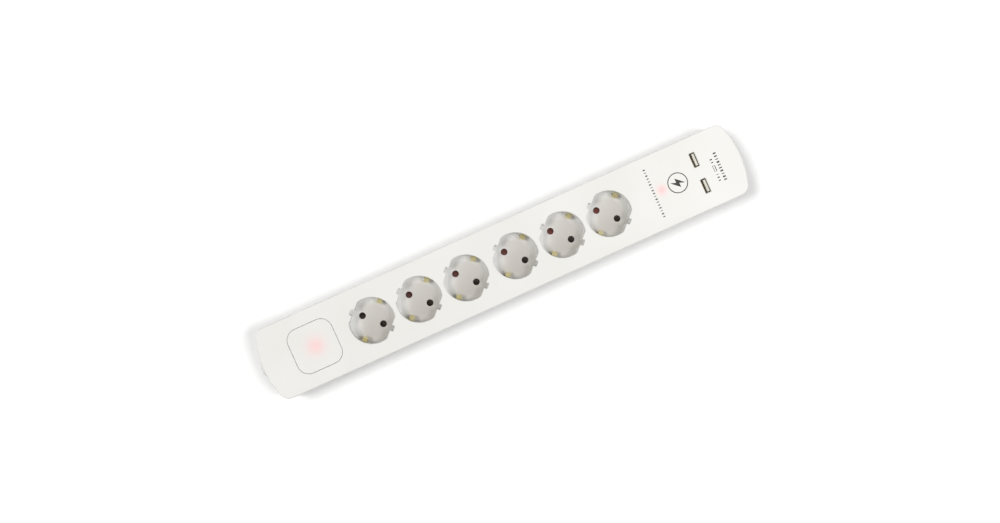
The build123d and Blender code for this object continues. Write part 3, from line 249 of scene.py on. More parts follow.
class StripStage(PropertyGroup):
    """Floor, light and camera."""

    floor_size: length_setting("Floor Size", "Side of the floor", 12.0)
    floor_colour: colour_setting("Floor Colour", "Pale floor", 255, 255, 255)
    floor_bounce: colour_setting(
        "Floor Bounce", "Colour that the floor throws back on the strip", 214, 214, 213
    )
    floor_lift: share_setting("Floor Lift", "White that the floor shows of its own to the camera", 0.025)
    floor_clear: length_setting(
        "Floor Clear", "Distance from the middle at which the floor starts to turn white", 0.25
    )
    floor_white: length_setting(
        "Floor White", "Distance from the middle at which the floor is all white", 1.5
    )
    world_level: level_setting("World Level", "Even light from all round", 0.23)
    lamp_height: length_setting("Lamp Height", "Height of the soft boxes", 4.0)
    key_level: level_setting(
        "Key Level", "Light of the soft box over the far side of the switch end", 0.46
    )
    counter_level: level_setting(
        "Counter Level", "Light of the soft box over the near side of the charging end", 0.31
    )
    fill_power: FloatProperty(
        name="Fill Power", description="Power of the small lamp over the charging end",
        unit="POWER", default=0.050,
    )
    fill_size: length_setting("Fill Size", "Side of the small lamp", 0.15)
    fill_height: length_setting("Fill Height", "Height of the small lamp over the charging end", 0.18)
    camera_from_first_socket: length_setting(
        "Camera from First Socket", "How far along the strip the camera stands", 0.06856
    )
    camera_aside: length_setting(
        "Camera Aside", "How far to the strip's far side the camera stands", 0.01648
    )
    camera_height: length_setting("Camera Height", "Height of the camera", 1.2138)
    camera_turn: FloatVectorProperty(
        name="Camera Turn", description="Turn of the camera",
        subtype="EULER", unit="ROTATION",
        default=(radians(0.2935), radians(-2.4915), radians(-24.2324)),
    )
    camera_lens: FloatProperty(
        name="Camera Lens", description="Focal length on a 36 mm wide sensor",
        unit="CAMERA", default=50.48,
    )


# Materials

CASING_ROUGHNESS = 0.42
GRAIN_GLOSS = 0.04
DRAWN_GLOSS = 0.08
DRAWN_STRETCH = (14, 1, 1)
DRAWN_DEPTH = 0.000004
TARNISH_SIZE = 0.004


class Finish:
    """One procedural material in the making, with short calls for the nodes that it needs."""

    def __init__(self, name):
        self.material = bpy.data.materials.new(name)
        self.material.use_nodes = True
        self.nodes = self.material.node_tree.nodes
        self.links = self.material.node_tree.links
        self.shader = self.nodes["Principled BSDF"]
        coordinates = self.nodes.new("ShaderNodeTexCoord")
        self.place = coordinates.outputs["Object"]
        self.facing = coordinates.outputs["Normal"]

    def set(self, socket, value):
        """Give a shader socket one value all over."""
        self.shader.inputs[socket].default_value = value

    def drive(self, socket, output):
        """Let a node drive a shader socket."""
        self.links.new(output, self.shader.inputs[socket])

    def source(self, socket):
        """The output that a shader socket takes its value from so far."""
        return self.shader.inputs[socket].links[0].from_socket

    def shift(self, centre=(0, 0, 0), scale=(1, 1, 1)):
        """The piece's own coordinates, measured from a centre and scaled."""
        mapping = self.nodes.new("ShaderNodeMapping")
        mapping.inputs["Location"].default_value = [-c * s for c, s in zip(centre, scale)]
        mapping.inputs["Scale"].default_value = scale
        self.links.new(self.place, mapping.inputs["Vector"])
        return mapping.outputs["Vector"]

    def axis(self, vector, letter):
        """One coordinate of a vector."""
        node = self.nodes.new("ShaderNodeSeparateXYZ")
        self.links.new(vector, node.inputs["Vector"])
        return node.outputs[letter]

    def along(self, vector, way):
        """How far a vector reaches along another, an output or a plain direction."""
        node = self.nodes.new("ShaderNodeVectorMath")
        node.operation = "DOT_PRODUCT"
        self.links.new(vector, node.inputs[0])
        if isinstance(way, bpy.types.NodeSocket):
            self.links.new(way, node.inputs[1])
        else:
            node.inputs[1].default_value = way
        return node.outputs["Value"]

    def reach(self, vector):
        """Length of a vector."""
        return self.sums("SQRT", self.along(vector, vector))

    def noise(self, size, detail=2.0, stretch=None):
        """Soft noise of a given size in metres, drawn out by a stretch on each axis."""
        node = self.nodes.new("ShaderNodeTexNoise")
        node.inputs["Scale"].default_value = 1 / size
        node.inputs["Detail"].default_value = detail
        place = self.shift(scale=[1 / s for s in stretch]) if stretch else self.place
        self.links.new(place, node.inputs["Vector"])
        return node.outputs["Fac"]

    def sums(self, operation, first, second=None):
        """One step of arithmetic on outputs or plain numbers."""
        node = self.nodes.new("ShaderNodeMath")
        node.operation = operation
        for socket, value in zip(node.inputs, (first, second)):
            if value is None:
                continue
            if isinstance(value, (int, float)):
                socket.default_value = value
            else:
                self.links.new(value, socket)
        return node.outputs["Value"]

    def blend(self, factor, first, second):
        """Colour between two others, each an output or a plain colour."""
        node = self.nodes.new("ShaderNodeMix")
        node.data_type = "RGBA"
        self.links.new(factor, node.inputs["Factor"])
        colour_sockets = [s for s in node.inputs if s.type == "RGBA"]
        for socket, colour in zip(colour_sockets, (first, second)):
            if isinstance(colour, bpy.types.NodeSocket):
                self.links.new(colour, socket)
            else:
                socket.default_value = (*colour, 1)
        return next(s for s in node.outputs if s.type == "RGBA")

    def spread(self, factor, low, high, span=(0.3, 0.7)):
        """Stretch a span, such as the middle of a noise, over a range of values."""
        node = self.nodes.new("ShaderNodeMapRange")
        node.inputs["From Min"].default_value, node.inputs["From Max"].default_value = span
        node.inputs["To Min"].default_value = low
        node.inputs["To Max"].default_value = high
        self.links.new(factor, node.inputs["Value"])
        return node.outputs["Result"]

    def gloss(self, factor, low, high):
        """Let a noise vary the roughness between two values."""
        self.drive("Roughness", self.spread(factor, low, high))

    def relief(self, height, depth):
        """Give the surface a fine unevenness of a given depth in metres."""
        node = self.nodes.new("ShaderNodeBump")
        node.inputs["Distance"].default_value = depth
        self.links.new(height, node.inputs["Height"])
        self.drive("Normal", node.outputs["Normal"])

    def spot(self, centre, radius):
        """Round spot seen from above, one in the middle and fading out smoothly."""
        flat = self.shift(centre, (1 / radius, 1 / radius, 0))
        square = self.along(flat, flat)
        return self.sums("EXPONENT", self.sums("MULTIPLY", square, -0.5))


def dress(finish, *names):
    """Give solids a finish."""
    for name in names:
        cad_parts[name].material_slots[0].material = finish.material


def darker(colour, share):
    """A colour with part of its light taken away."""
    return tuple(value * (1 - share) for value in colour)


def moulded(name, colour, shade, roughness, grain, depth, cloud):
    """Moulded plastic: faint clouding, a fine grain and a satin gloss that follows the grain."""
    finish = Finish(name)
    grains = finish.noise(grain, detail=1)
    clouds = finish.spread(finish.noise(cloud), 0, 1)
    finish.drive("Base Color", finish.blend(clouds, colour, shade))
    finish.gloss(grains, roughness - GRAIN_GLOSS, roughness + GRAIN_GLOSS)
    finish.relief(grains, depth)
    return finish


def casing_plastic(name, scene, colour, shade):
    """Plastic with the covers' grain and clouding."""
    sizes = scene.strip_finish
    return moulded(
        name, colour, shade, CASING_ROUGHNESS,
        grain=sizes.casing_grain, depth=sizes.casing_grain_depth, cloud=sizes.cloud_size,
    )


def lit_white(name, scene, centre, radius, share):
    """White casing plastic with a lamp's light coming through it at one spot."""
    colours = scene.strip_colours
    finish = casing_plastic(name, scene, colours.casing_white, colours.casing_shade)
    spot = finish.sums("MULTIPLY", finish.spot(centre, radius), share)
    finish.drive("Base Color", finish.blend(spot, finish.source("Base Color"), colours.glow))
    finish.set("Emission Color", (*colours.glow, 1))
    finish.drive("Emission Strength", finish.sums("MULTIPLY", spot, scene.strip_finish.glow_level))
    return finish


def sheet_metal(name, colour, tarnish, roughness, lines):
    """Rolled or plated metal: drawn lines along X, and tarnish in soft patches."""
    finish = Finish(name)
    strokes = finish.noise(lines, detail=3, stretch=DRAWN_STRETCH)
    patches = finish.spread(finish.noise(TARNISH_SIZE, detail=4), 0, 1)
    finish.set("Metallic", 1.0)
    finish.drive("Base Color", finish.blend(patches, colour, tarnish))
    finish.gloss(strokes, roughness - DRAWN_GLOSS, roughness + DRAWN_GLOSS)
    finish.relief(strokes, DRAWN_DEPTH)
    return finish


# Modelling steps

WELD = 1e-7
SAME_PLACE = 1e-6
SMOOTH_ANGLE = radians(35)
CORNER_SEGMENTS = 4


def raise_faces(form, height):
    """Give flat faces a thickness upwards, as one closed solid."""
    raised = bmesh.ops.extrude_face_region(form, geom=form.faces[:])
    tops = [item for item in raised["geom"] if isinstance(item, bmesh.types.BMVert)]
    bmesh.ops.translate(form, vec=(0, 0, height), verts=tops)
    bmesh.ops.recalc_face_normals(form, faces=form.faces[:])


def plate(width, length, height, corner):
    """Thin plate with rounded corners, lying on the XY plane about the origin."""
    form = bmesh.new()
    bmesh.ops.create_grid(form, x_segments=1, y_segments=1, size=0.5)
    bmesh.ops.scale(form, vec=(width, length, 1), verts=form.verts)
    bmesh.ops.bevel(
        form, geom=form.verts[:], offset=corner, affect="VERTICES",
        segments=CORNER_SEGMENTS, profile=0.5, material=-1,
    )
    raise_faces(form, height)
    return form


def outline(points, height):
    """Flat shape through a few corner points, raised to a height."""
    form = bmesh.new()
    form.faces.new([form.verts.new((x, y, 0)) for x, y in points])
    raise_faces(form, height)
    return form


def turned(points, steps):
    """Surface made by turning an open profile of (radius, height) points about Z."""
    form = bmesh.new()
    corners = [form.verts.new((radius, 0, height)) for radius, height in points]
    edges = [form.edges.new(pair) for pair in zip(corners, corners[1:])]
    bmesh.ops.spin(
        form, geom=corners + edges, cent=(0, 0, 0), axis=(0, 0, 1),
        angle=2 * pi, steps=steps, use_merge=True,
    )
    bmesh.ops.remove_doubles(form, verts=form.verts[:], dist=WELD)
    return form


def wound(section, rise, turns, steps):
    """Closed coil made by winding a section of (radius, height) points up round Z."""
    form = bmesh.new()
    face = form.faces.new([form.verts.new((radius, 0, height)) for radius, height in section])
    bmesh.ops.spin(
        form, geom=[face], cent=(0, 0, 0), axis=(0, 0, 1),
        dvec=(0, 0, rise / steps), angle=2 * pi * turns, steps=steps,
    )
    bmesh.ops.recalc_face_normals(form, faces=form.faces[:])
    return form


def stamp(target, form, place):
    """Add a copy of a modelled form to a piece, at a place."""
    copy = form.copy()
    bmesh.ops.transform(copy, matrix=place, verts=copy.verts[:])
    mesh = bpy.data.meshes.new("stamp")
    copy.to_mesh(mesh)
    copy.free()
    target.from_mesh(mesh)
    bpy.data.meshes.remove(mesh)


def finish_piece(name, form, finish, body=None, smooth=False):
    """Make a modelled form into a piece with a finish. It rides on a body, if one is given."""
    mesh = bpy.data.meshes.new(name)
    form.to_mesh(mesh)
    form.free()
    mesh.materials.append(finish.material)
    if smooth:
        mesh.shade_smooth()
        mesh.set_sharp_from_angle(angle=SMOOTH_ANGLE)
    piece = bpy.data.objects.new(name, mesh)
    bpy.context.scene.collection.objects.link(piece)
    if body:
        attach(piece, body)
    return piece


# Casing


class POWERSTRIP_OT_casing(Operator):
    """Finish the white covers, the feet and the cord inlet"""

    bl_idname = "power_strip.casing"
    bl_label = "Casing"

    def execute(self, context):
        scene = context.scene
        colours, sizes = scene.strip_colours, scene.strip_finish
        indicator = middle("light_pipe")
        radius, share = sizes.indicator_glow_radius, sizes.indicator_glow
        dress(lit_white("top_cover_white", scene, indicator, radius, share), "top_cover")
        white = casing_plastic("casing_white", scene, colours.casing_white, colours.casing_shade)
        dress(white, "base_cover")
        # Painted light: the collar's plastic is paler than the covers' to make up for its shade
        collar = casing_plastic("collar_white_painted_light", scene, colours.collar_white_painted_light, colours.casing_white)
        dress(collar, "cord_collar")
        rubber = moulded(
            "foot_rubber", colours.rubber, darker(colours.rubber, 0.25),
            roughness=0.75, grain=0.0006, depth=0.00003, cloud=0.004,
        )
        dress(rubber, "rubber_feet")
        clamp = moulded(
            "clamp_black", colours.black_plastic, darker(colours.black_plastic, 0.2),
            roughness=0.5, grain=0.0005, depth=0.00002, cloud=0.01,
        )
        dress(clamp, "cord_clamp")
        return {"FINISHED"}


# Switch


class POWERSTRIP_OT_switch(Operator):
    """Finish the push switch and its lamp"""

    bl_idname = "power_strip.switch"
    bl_label = "Push Switch"

    def execute(self, context):
        scene = context.scene
        colours, sizes = scene.strip_colours, scene.strip_finish
        glow = middle("switch_button") + Vector((sizes.switch_glow_shift, 0, 0))
        lit = lit_white("switch_white", scene, glow, sizes.switch_glow_radius, sizes.switch_glow)
        dress(lit, "switch_button")
        body = moulded(
            "switch_insulator", colours.insulator, darker(colours.insulator, 0.08),
            roughness=0.5, grain=0.0006, depth=0.00001, cloud=0.012,
        )
        dress(body, "switch_body")
        dress(lamp_lens("lamp_red", colours.lens_red, glow=0.6), "switch_lamp", "indicator_led")
        return {"FINISHED"}


def lamp_lens(name, colour, glow):
    """Tinted lens that is lit from inside, unevenly."""
    finish = Finish(name)
    swirl = finish.spread(finish.noise(0.0012), 0, 1)
    finish.drive("Base Color", finish.blend(swirl, colour, darker(colour, 0.35)))
    finish.set("Roughness", 0.12)
    finish.set("Transmission Weight", 0.5)
    finish.set("Emission Color", (*colour, 1))
    finish.drive("Emission Strength", finish.spread(swirl, glow, glow * 0.6))
    return finish


# Sockets

SOCKET_GRAIN = 0.0005
# Painted shade on the cup floors towards the near side, and painted light towards the switch's far side and
# round their edges
CUP_PAINTED_SHADE_WAY = (0.3, -0.95, 0)
CUP_PAINTED_SHADE_SPAN = (-0.0195, 0.0195)
CUP_PAINTED_LIGHT_WAY = (-0.9, 0.44, 0)
CUP_PAINTED_LIGHT_SPAN = (0.003, 0.0158)
CUP_PAINTED_LIGHT_POWER = 2.5
CUP_EDGE_PAINTED_LIGHT_SHARE = 0.55
CUP_EDGE_PAINTED_LIGHT_FAR_SIDE = 1.15
CUP_EDGE_PAINTED_LIGHT_SPAN = (0.0125, 0.0185)


class POWERSTRIP_OT_sockets(Operator):
    """Finish the socket cups, shutters, earth straps and contact rails"""

    bl_idname = "power_strip.sockets"
    bl_label = "Sockets"

    def execute(self, context):
        colours = context.scene.strip_colours
        for number in SOCKETS:
            centre = middle(f"socket_cup_{number}")
            dress(cup_plastic_with_painted_light(f"cup_grey_{number}", centre, colours), f"socket_cup_{number}")
            # Painted light: the shutters' left wings are lighter from the first socket to the last
            painted_light_share = sqrt((number - 1) / (len(SOCKETS) - 1))
            brown = shutter_plastic_with_painted_shade(f"shutter_brown_{number}", centre, painted_light_share, colours)
            dress(brown, f"shutter_{number}")
        brass = sheet_metal("brass", colours.brass_pale, colours.brass_deep, roughness=0.18, lines=0.0004)
        straps = [f"earth_strap_{n}" for n in SOCKETS]
        dress(brass, *straps, "earth_bus", "live_rail", "neutral_rail", "switch_terminals")
        return {"FINISHED"}


def cup_plastic_with_painted_light(name, centre, colours):
    """Cup plastic: painted shade towards the near side, painted light round its edge, most on the switch's
    far side, and on the walls.
    """
    finish = Finish(name)
    place = finish.shift(centre)
    # Painted shade: the floor darkens towards the near side
    painted_shade = finish.spread(finish.along(place, CUP_PAINTED_SHADE_WAY), 0, 1, CUP_PAINTED_SHADE_SPAN)
    floor = finish.blend(painted_shade, colours.cup_grey, colours.cup_painted_shade)
    # Painted light: paler towards the switch's far side and round the edge, the edge less on the near side
    lifted = finish.spread(finish.along(place, CUP_PAINTED_LIGHT_WAY), 0, 1, CUP_PAINTED_LIGHT_SPAN)
    from_axis = finish.reach(finish.shift(centre, (1, 1, 0)))
    edge = finish.spread(from_axis, 0, CUP_EDGE_PAINTED_LIGHT_SHARE, CUP_EDGE_PAINTED_LIGHT_SPAN)
    edge = finish.sums("MULTIPLY", edge, finish.sums("SUBTRACT", CUP_EDGE_PAINTED_LIGHT_FAR_SIDE, painted_shade))
    pale = finish.sums("MAXIMUM", finish.sums("POWER", lifted, CUP_PAINTED_LIGHT_POWER), edge)
    paler = finish.blend(pale, floor, colours.cup_wall_painted_light)
    # Painted light: upright faces, the cups' walls, take the near white wall colour
    level = finish.sums("ABSOLUTE", finish.axis(finish.facing, "Z"))
    grains = finish.noise(SOCKET_GRAIN, detail=1)
    finish.drive("Base Color", finish.blend(level, colours.cup_wall_painted_light, paler))
    finish.gloss(grains, 0.26, 0.34)
    finish.relief(grains, 0.000006)
    return finish


def shutter_plastic_with_painted_shade(name, centre, painted_light_share, colours):
    """Shutter plastic with painted light and shade: the left wing red-brown by its painted light share, the
    right one painted nearly black.
    """
    finish = Finish(name)
    # Painted light and shade: the left wing lies between near black and red-brown by its share, the right
    # wing is painted near black
    brown = Vector(colours.shutter_painted_shade).lerp(Vector(colours.shutter_brown), painted_light_share)
    painted_shade_wing = finish.sums("GREATER_THAN", finish.axis(finish.shift(centre), "X"), 0)
    grains = finish.noise(SOCKET_GRAIN, detail=2)
    finish.drive("Base Color", finish.blend(painted_shade_wing, brown, colours.shutter_painted_shade))
    finish.gloss(grains, 0.42, 0.52)
    finish.relief(grains, 0.00001)
    return finish


# Springs

SOCKET_TURN = radians(135)
COIL_WIRE_WIDTH = 0.0012
COIL_WIRE_HEIGHT = 0.0008
COIL_TURNS = 4.5
COIL_STEPS = 216

# Plan of a leaf, with X along its shutter's wing: the tip on the wing, the bend and the end by the peg
LEAF_TIP = Vector((0.011275, 0.0036))
LEAF_BEND = Vector((0.0053, 0.0036))
LEAF_END = Vector((0.0028, 0.010356))
LEAF_THICKNESS = 0.0003
LEAF_BEND_RADIUS = 0.001
LEAF_BEND_SEGMENTS = 6
LEAF_SLICES = 12


class POWERSTRIP_OT_springs(Operator):
    """Model the switch's coil and the shutters' leaves"""

    bl_idname = "power_strip.springs"
    bl_label = "Springs"

    def execute(self, context):
        colour = context.scene.strip_colours.spring_steel
        steel = sheet_metal("spring_steel", colour, darker(colour, 0.3), roughness=0.32, lines=0.0003)
        low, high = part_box("switch_spring")
        coil = flat_coil(low, high)
        piece = finish_piece("switch_coil", coil, steel, "casing", smooth=True)
        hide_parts("switch_spring")
        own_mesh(piece)
        for number in SOCKETS:
            node, shutter = f"shutter_spring_{number}", f"shutter_{number}"
            low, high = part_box(node)
            hub = middle(shutter)
            place = Matrix.Translation((hub.x, hub.y, low.z)) @ Matrix.Rotation(SOCKET_TURN, 4, "Z")
            form = bent_leaf(high.z - low.z)
            bmesh.ops.transform(form, matrix=place, verts=form.verts[:])
            piece = finish_piece(f"shutter_leaf_{number}", form, steel, smooth=True)
            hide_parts(node)
            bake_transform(piece)
        return {"FINISHED"}


def flat_coil(low, high):
    """Coil of flat wire that fills a solid's box."""
    outer = (high.x - low.x) / 2
    inner = outer - COIL_WIRE_WIDTH
    section = [(inner, 0), (outer, 0), (outer, COIL_WIRE_HEIGHT), (inner, COIL_WIRE_HEIGHT)]
    form = wound(section, high.z - low.z - COIL_WIRE_HEIGHT, COIL_TURNS, COIL_STEPS)
    foot = ((low.x + high.x) / 2, (low.y + high.y) / 2, low.z)
    bmesh.ops.translate(form, vec=foot, verts=form.verts[:])
    return form


def bent_leaf(height):
    """Leaf of sheet steel with a rounded bend, sliced across the leg that has to bend."""
    wing_way = (LEAF_BEND - LEAF_TIP).normalized()
    peg_way = (LEAF_END - LEAF_BEND).normalized()
    wing_side, peg_side = [Vector((way.y, -way.x)) * LEAF_THICKNESS for way in (wing_way, peg_way)]
    far_bend = LEAF_BEND + (wing_side + peg_side) / (1 + wing_way.dot(peg_way))
    far_side = [LEAF_END + peg_side, far_bend, LEAF_TIP + wing_side]
    form = outline([LEAF_TIP, LEAF_BEND, LEAF_END, *far_side], height)
    reach = tan(wing_way.angle(peg_way) / 2)
    for corner, radius in ((LEAF_BEND, LEAF_BEND_RADIUS), (far_bend, LEAF_BEND_RADIUS - LEAF_THICKNESS)):
        upright = [
            edge for edge in form.edges
            if all((vertex.co.to_2d() - corner).length < SAME_PLACE for vertex in edge.verts)
        ]
        bmesh.ops.bevel(
            form, geom=upright, offset=radius * reach, affect="EDGES",
            segments=LEAF_BEND_SEGMENTS, profile=0.5, material=-1,
        )
    for index in range(1, LEAF_SLICES):
        bmesh.ops.bisect_plane(
            form, geom=form.verts[:] + form.edges[:] + form.faces[:], dist=WELD,
            plane_co=LEAF_BEND.lerp(LEAF_END, index / LEAF_SLICES).to_3d(), plane_no=peg_way.to_3d(),
        )
    return form


# Charging ports

TONGUE_TIP_DEPTH = 0.0001
CONTACT_FOOT = 0.0045
CONTACT_BELOW_TIP = 0.0008
CONTACTS_SPAN_SHARE = 0.56


class POWERSTRIP_OT_ports(Operator):
    """Finish the charging ports and lay the contact strips on their tongues"""

    bl_idname = "power_strip.ports"
    bl_label = "Charging Ports"

    def execute(self, context):
        colours = context.scene.strip_colours
        fittings = context.scene.strip_fittings
        colour = colours.port_metal
        metal = sheet_metal("port_metal", colour, darker(colour, 0.3), roughness=0.34, lines=0.0003)
        dress(metal, *[f"port_frame_{n}" for n in PORTS])
        cream = moulded(
            "tongue_cream", colours.tongue_cream, darker(colours.tongue_cream, 0.06),
            roughness=0.48, grain=0.0004, depth=0.00001, cloud=0.006,
        )
        dress(cream, *[f"port_tongue_{n}" for n in PORTS])
        colour = colours.contact_gold
        gold = sheet_metal("contact_gold", colour, darker(colour, 0.2), roughness=0.24, lines=0.0003)
        for number in PORTS:
            contacts = tongue_contacts(f"port_tongue_{number}", f"port_frame_{number}", fittings)
            finish_piece(f"port_contacts_{number}", contacts, gold, "casing")
        return {"FINISHED"}


def tongue_contacts(tongue, port, fittings):
    """Contact strips on the side of a tongue that faces the wider gap."""
    low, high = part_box(tongue)
    port_low, port_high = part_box(port)
    corners = [vertex.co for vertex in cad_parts[tongue].data.vertices]
    tongue_front = min(corner.x for corner in corners if corner.z > high.z - TONGUE_TIP_DEPTH)
    foot = low.z + CONTACT_FOOT
    reach = high.z - CONTACT_BELOW_TIP - foot
    strip = plate(fittings.contact_width, reach, fittings.contact_proud * 2, fittings.contact_width / 3)
    stand = Matrix.Rotation(-pi / 2, 4, "Z") @ Matrix.Rotation(pi / 2, 4, "X")
    span = (port_high.y - port_low.y) * CONTACTS_SPAN_SHARE
    x, z = tongue_front + fittings.contact_proud, foot + reach / 2
    form = bmesh.new()
    for index in range(fittings.contact_count):
        across = (index / (fittings.contact_count - 1) - 0.5) * span
        place = Vector((x, (low.y + high.y) / 2 + across, z))
        stamp(form, strip, Matrix.Translation(place) @ stand)
    strip.free()
    return form


# Inner works

TRACK_CELLS_PER_METRE = 160
TRACK_WIDTH_IN_CELLS = 0.12


class POWERSTRIP_OT_inner_works(Operator):
    """Finish the surge board and what stands on it"""

    bl_idname = "power_strip.inner_works"
    bl_label = "Inner Works"

    def execute(self, context):
        colours = context.scene.strip_colours
        dress(board_laminate(colours), "circuit_board")
        for node, colour, roughness in (
            ("varistors", colours.varistor_blue, 0.35),
            ("thermal_fuse", colours.fuse_body, 0.6),
            ("capacitors", colours.can_sleeve, 0.28),
            ("transformer", colours.ferrite, 0.62),
        ):
            finish = moulded(
                f"{node}_finish", colour, darker(colour, 0.15), roughness,
                grain=0.0006, depth=0.00002, cloud=0.006,
            )
            dress(finish, node)
        dress(clear_pipe(colours.pipe_clear), "light_pipe")
        return {"FINISHED"}


def board_laminate(colours):
    """Green board: woven glass under the lacquer, with paler tracks showing through."""
    finish = Finish("board_laminate")
    weave = finish.noise(0.0005, detail=1, stretch=(3, 1, 1))
    tracks = finish.nodes.new("ShaderNodeTexVoronoi")
    tracks.feature = "DISTANCE_TO_EDGE"
    tracks.inputs["Scale"].default_value = TRACK_CELLS_PER_METRE
    finish.links.new(finish.place, tracks.inputs["Vector"])
    on_track = finish.sums("LESS_THAN", tracks.outputs["Distance"], TRACK_WIDTH_IN_CELLS)
    finish.drive("Base Color", finish.blend(on_track, colours.laminate, darker(colours.laminate, -0.5)))
    finish.gloss(weave, 0.26, 0.38)
    finish.relief(weave, 0.00001)
    return finish


def clear_pipe(colour):
    """Clear plastic with faint flow lines."""
    finish = Finish("pipe_clear")
    flow = finish.noise(0.0015, detail=2, stretch=(1, 1, 5))
    finish.set("Base Color", (*colour, 1))
    finish.set("Transmission Weight", 0.9)
    finish.set("IOR", 1.49)
    finish.gloss(flow, 0.04, 0.12)
    return finish


# Screws

CASING_HEAD_RADIUS = 0.0029
CASING_HEAD_HEIGHT = 0.0022
CASING_SHANK_RADIUS = 0.0015
CLAMP_HEAD_RADIUS = 0.0026
CLAMP_HEAD_HEIGHT = 0.0018
CLAMP_SHANK_RADIUS = 0.0013
SCREW_STEPS = 28
NECK_LENGTH = 0.0015
DOME_SHARE = 0.45
DOME_STEPS = 4
CROSS_ARM_SHARE = 0.95
CROSS_HALF_WIDTH_SHARE = 0.26
CROSS_TAPER = 0.45
THREAD_BELOW_HEAD = 0.0025
THREAD_ROOT_SHARE = 0.96
THREAD_HALF_WIDTH_SHARE = 0.28


class POWERSTRIP_OT_screws(Operator):
    """Model the casing and clamp screws with cross recesses and threads"""

    bl_idname = "power_strip.screws"
    bl_label = "Screws"

    def execute(self, context):
        colour = context.scene.strip_colours.zinc
        fittings = context.scene.strip_fittings
        zinc = sheet_metal("screw_zinc", colour, darker(colour, 0.25), roughness=0.32, lines=0.0005)
        flip = Matrix.Rotation(pi, 4, "X")
        low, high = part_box("casing_screws")
        sockets_middle = (middle("socket_cup_1").x + middle("socket_cup_6").x) / 2
        screw = cross_head_screw(
            CASING_HEAD_RADIUS, CASING_HEAD_HEIGHT, CASING_SHANK_RADIUS,
            high.z - low.z - CASING_HEAD_HEIGHT, fittings,
        )
        places = []
        for x in (low.x + CASING_HEAD_RADIUS, sockets_middle, high.x - CASING_HEAD_RADIUS):
            for y in (low.y + CASING_HEAD_RADIUS, high.y - CASING_HEAD_RADIUS):
                places.append(Matrix.Translation((x, y, low.z + CASING_HEAD_HEIGHT)) @ flip)
        piece = screw_set("casing_screws_threaded", screw, places, zinc)
        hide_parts("casing_screws")

        low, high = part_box("clamp_screws")
        screw = cross_head_screw(
            CLAMP_HEAD_RADIUS, CLAMP_HEAD_HEIGHT, CLAMP_SHANK_RADIUS,
            high.z - low.z - CLAMP_HEAD_HEIGHT, fittings,
        )
        places = []
        for y in (low.y + CLAMP_HEAD_RADIUS, high.y - CLAMP_HEAD_RADIUS):
            places.append(Matrix.Translation(((low.x + high.x) / 2, y, high.z - CLAMP_HEAD_HEIGHT)))
        piece = screw_set("clamp_screws_threaded", screw, places, zinc)
        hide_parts("clamp_screws")
        return {"FINISHED"}


def screw_set(name, screw, places, finish):
    """One piece of like screws, a copy at each place."""
    form = bmesh.new()
    for place in places:
        stamp(form, screw, place)
    screw.free()
    return finish_piece(name, form, finish, "casing", smooth=True)


def cross_head_screw(head_radius, head_height, shank_radius, shank_length, fittings):
    """Pan-head screw, head up, with the underside of its head on the XY plane."""
    core = shank_radius - fittings.thread_depth
    dome = head_height * DOME_SHARE
    flat = head_radius - dome
    profile = [(0, -shank_length), (core, -shank_length + 2 * core), (core, -NECK_LENGTH)]
    profile += [(shank_radius, 0), (head_radius, 0), (head_radius, head_height - dome)]
    for step in range(1, DOME_STEPS + 1):
        angle = step / DOME_STEPS * pi / 2
        profile.append((flat + dome * cos(angle), head_height - dome + dome * sin(angle)))
    form = turned(profile, SCREW_STEPS)
    arm, half_width = flat * CROSS_ARM_SHARE, flat * CROSS_HALF_WIDTH_SHARE
    cut_cross(form, arm, half_width, head_height, fittings.cross_depth)
    add_thread(form, core, shank_radius, shank_length, fittings.thread_pitch)
    return form


def cut_cross(form, arm, half_width, height, depth):
    """Close a head's flat with a cross recess that narrows downwards."""
    rim = [edge for edge in form.edges if edge.is_boundary]
    quarter = [(half_width, arm), (half_width, half_width), (arm, half_width)]
    corners = []
    for turn in range(4):
        spin = Matrix.Rotation(-turn * pi / 2, 3, "Z")
        corners += [form.verts.new(spin @ Vector((x, y, height))) for x, y in quarter]
    cross = [form.edges.new(pair) for pair in zip(corners, corners[1:] + corners[:1])]
    bmesh.ops.bridge_loops(form, edges=rim + cross)
    sunk = bmesh.ops.extrude_edge_only(form, edges=cross)["geom"]
    floor = [item for item in sunk if isinstance(item, bmesh.types.BMVert)]
    bmesh.ops.scale(form, vec=(CROSS_TAPER, CROSS_TAPER, 1), verts=floor)
    bmesh.ops.translate(form, vec=(0, 0, -depth), verts=floor)
    floor_edges = [item for item in sunk if isinstance(item, bmesh.types.BMEdge)]
    bmesh.ops.edgeloop_fill(form, edges=[edge for edge in floor_edges if edge.is_boundary])
    bmesh.ops.recalc_face_normals(form, faces=form.faces[:])


def add_thread(form, core, crest, shank_length, pitch):
    """Wind a sharp ridge round the shank, from above its point to below its neck."""
    start = -shank_length + 2 * core
    turns = int((-THREAD_BELOW_HEAD - start) / pitch)
    root = core * THREAD_ROOT_SHARE
    half_width = pitch * THREAD_HALF_WIDTH_SHARE
    section = [(root, start - half_width), (crest, start), (root, start + half_width)]
    ridge = wound(section, pitch * turns, turns, turns * SCREW_STEPS // 2)
    stamp(form, ridge, Matrix.Identity(4))
    ridge.free()


# Printed marks

RING_STEPS = 96
BOLT_SHARES = [(0.18, 0.5), (-0.36, -0.1), (-0.04, -0.1), (-0.18, -0.5), (0.36, 0.1), (0.04, 0.1)]
BAR_SWING = 0.35
BAR_BEAT = 2.4
PORT_ROW_SCALE = 1.3
# Bars on the far side (1) and the near side (-1) of the current sign
RATING_ROW_COUNTS = {1: 2, -1: 3}
CURRENT_LINE_SHARE = 1 / 9
CURRENT_LINE_ASIDE = 1.4
CURRENT_DASH_SHARE = 0.26
CURRENT_DASH_STEP = 0.37


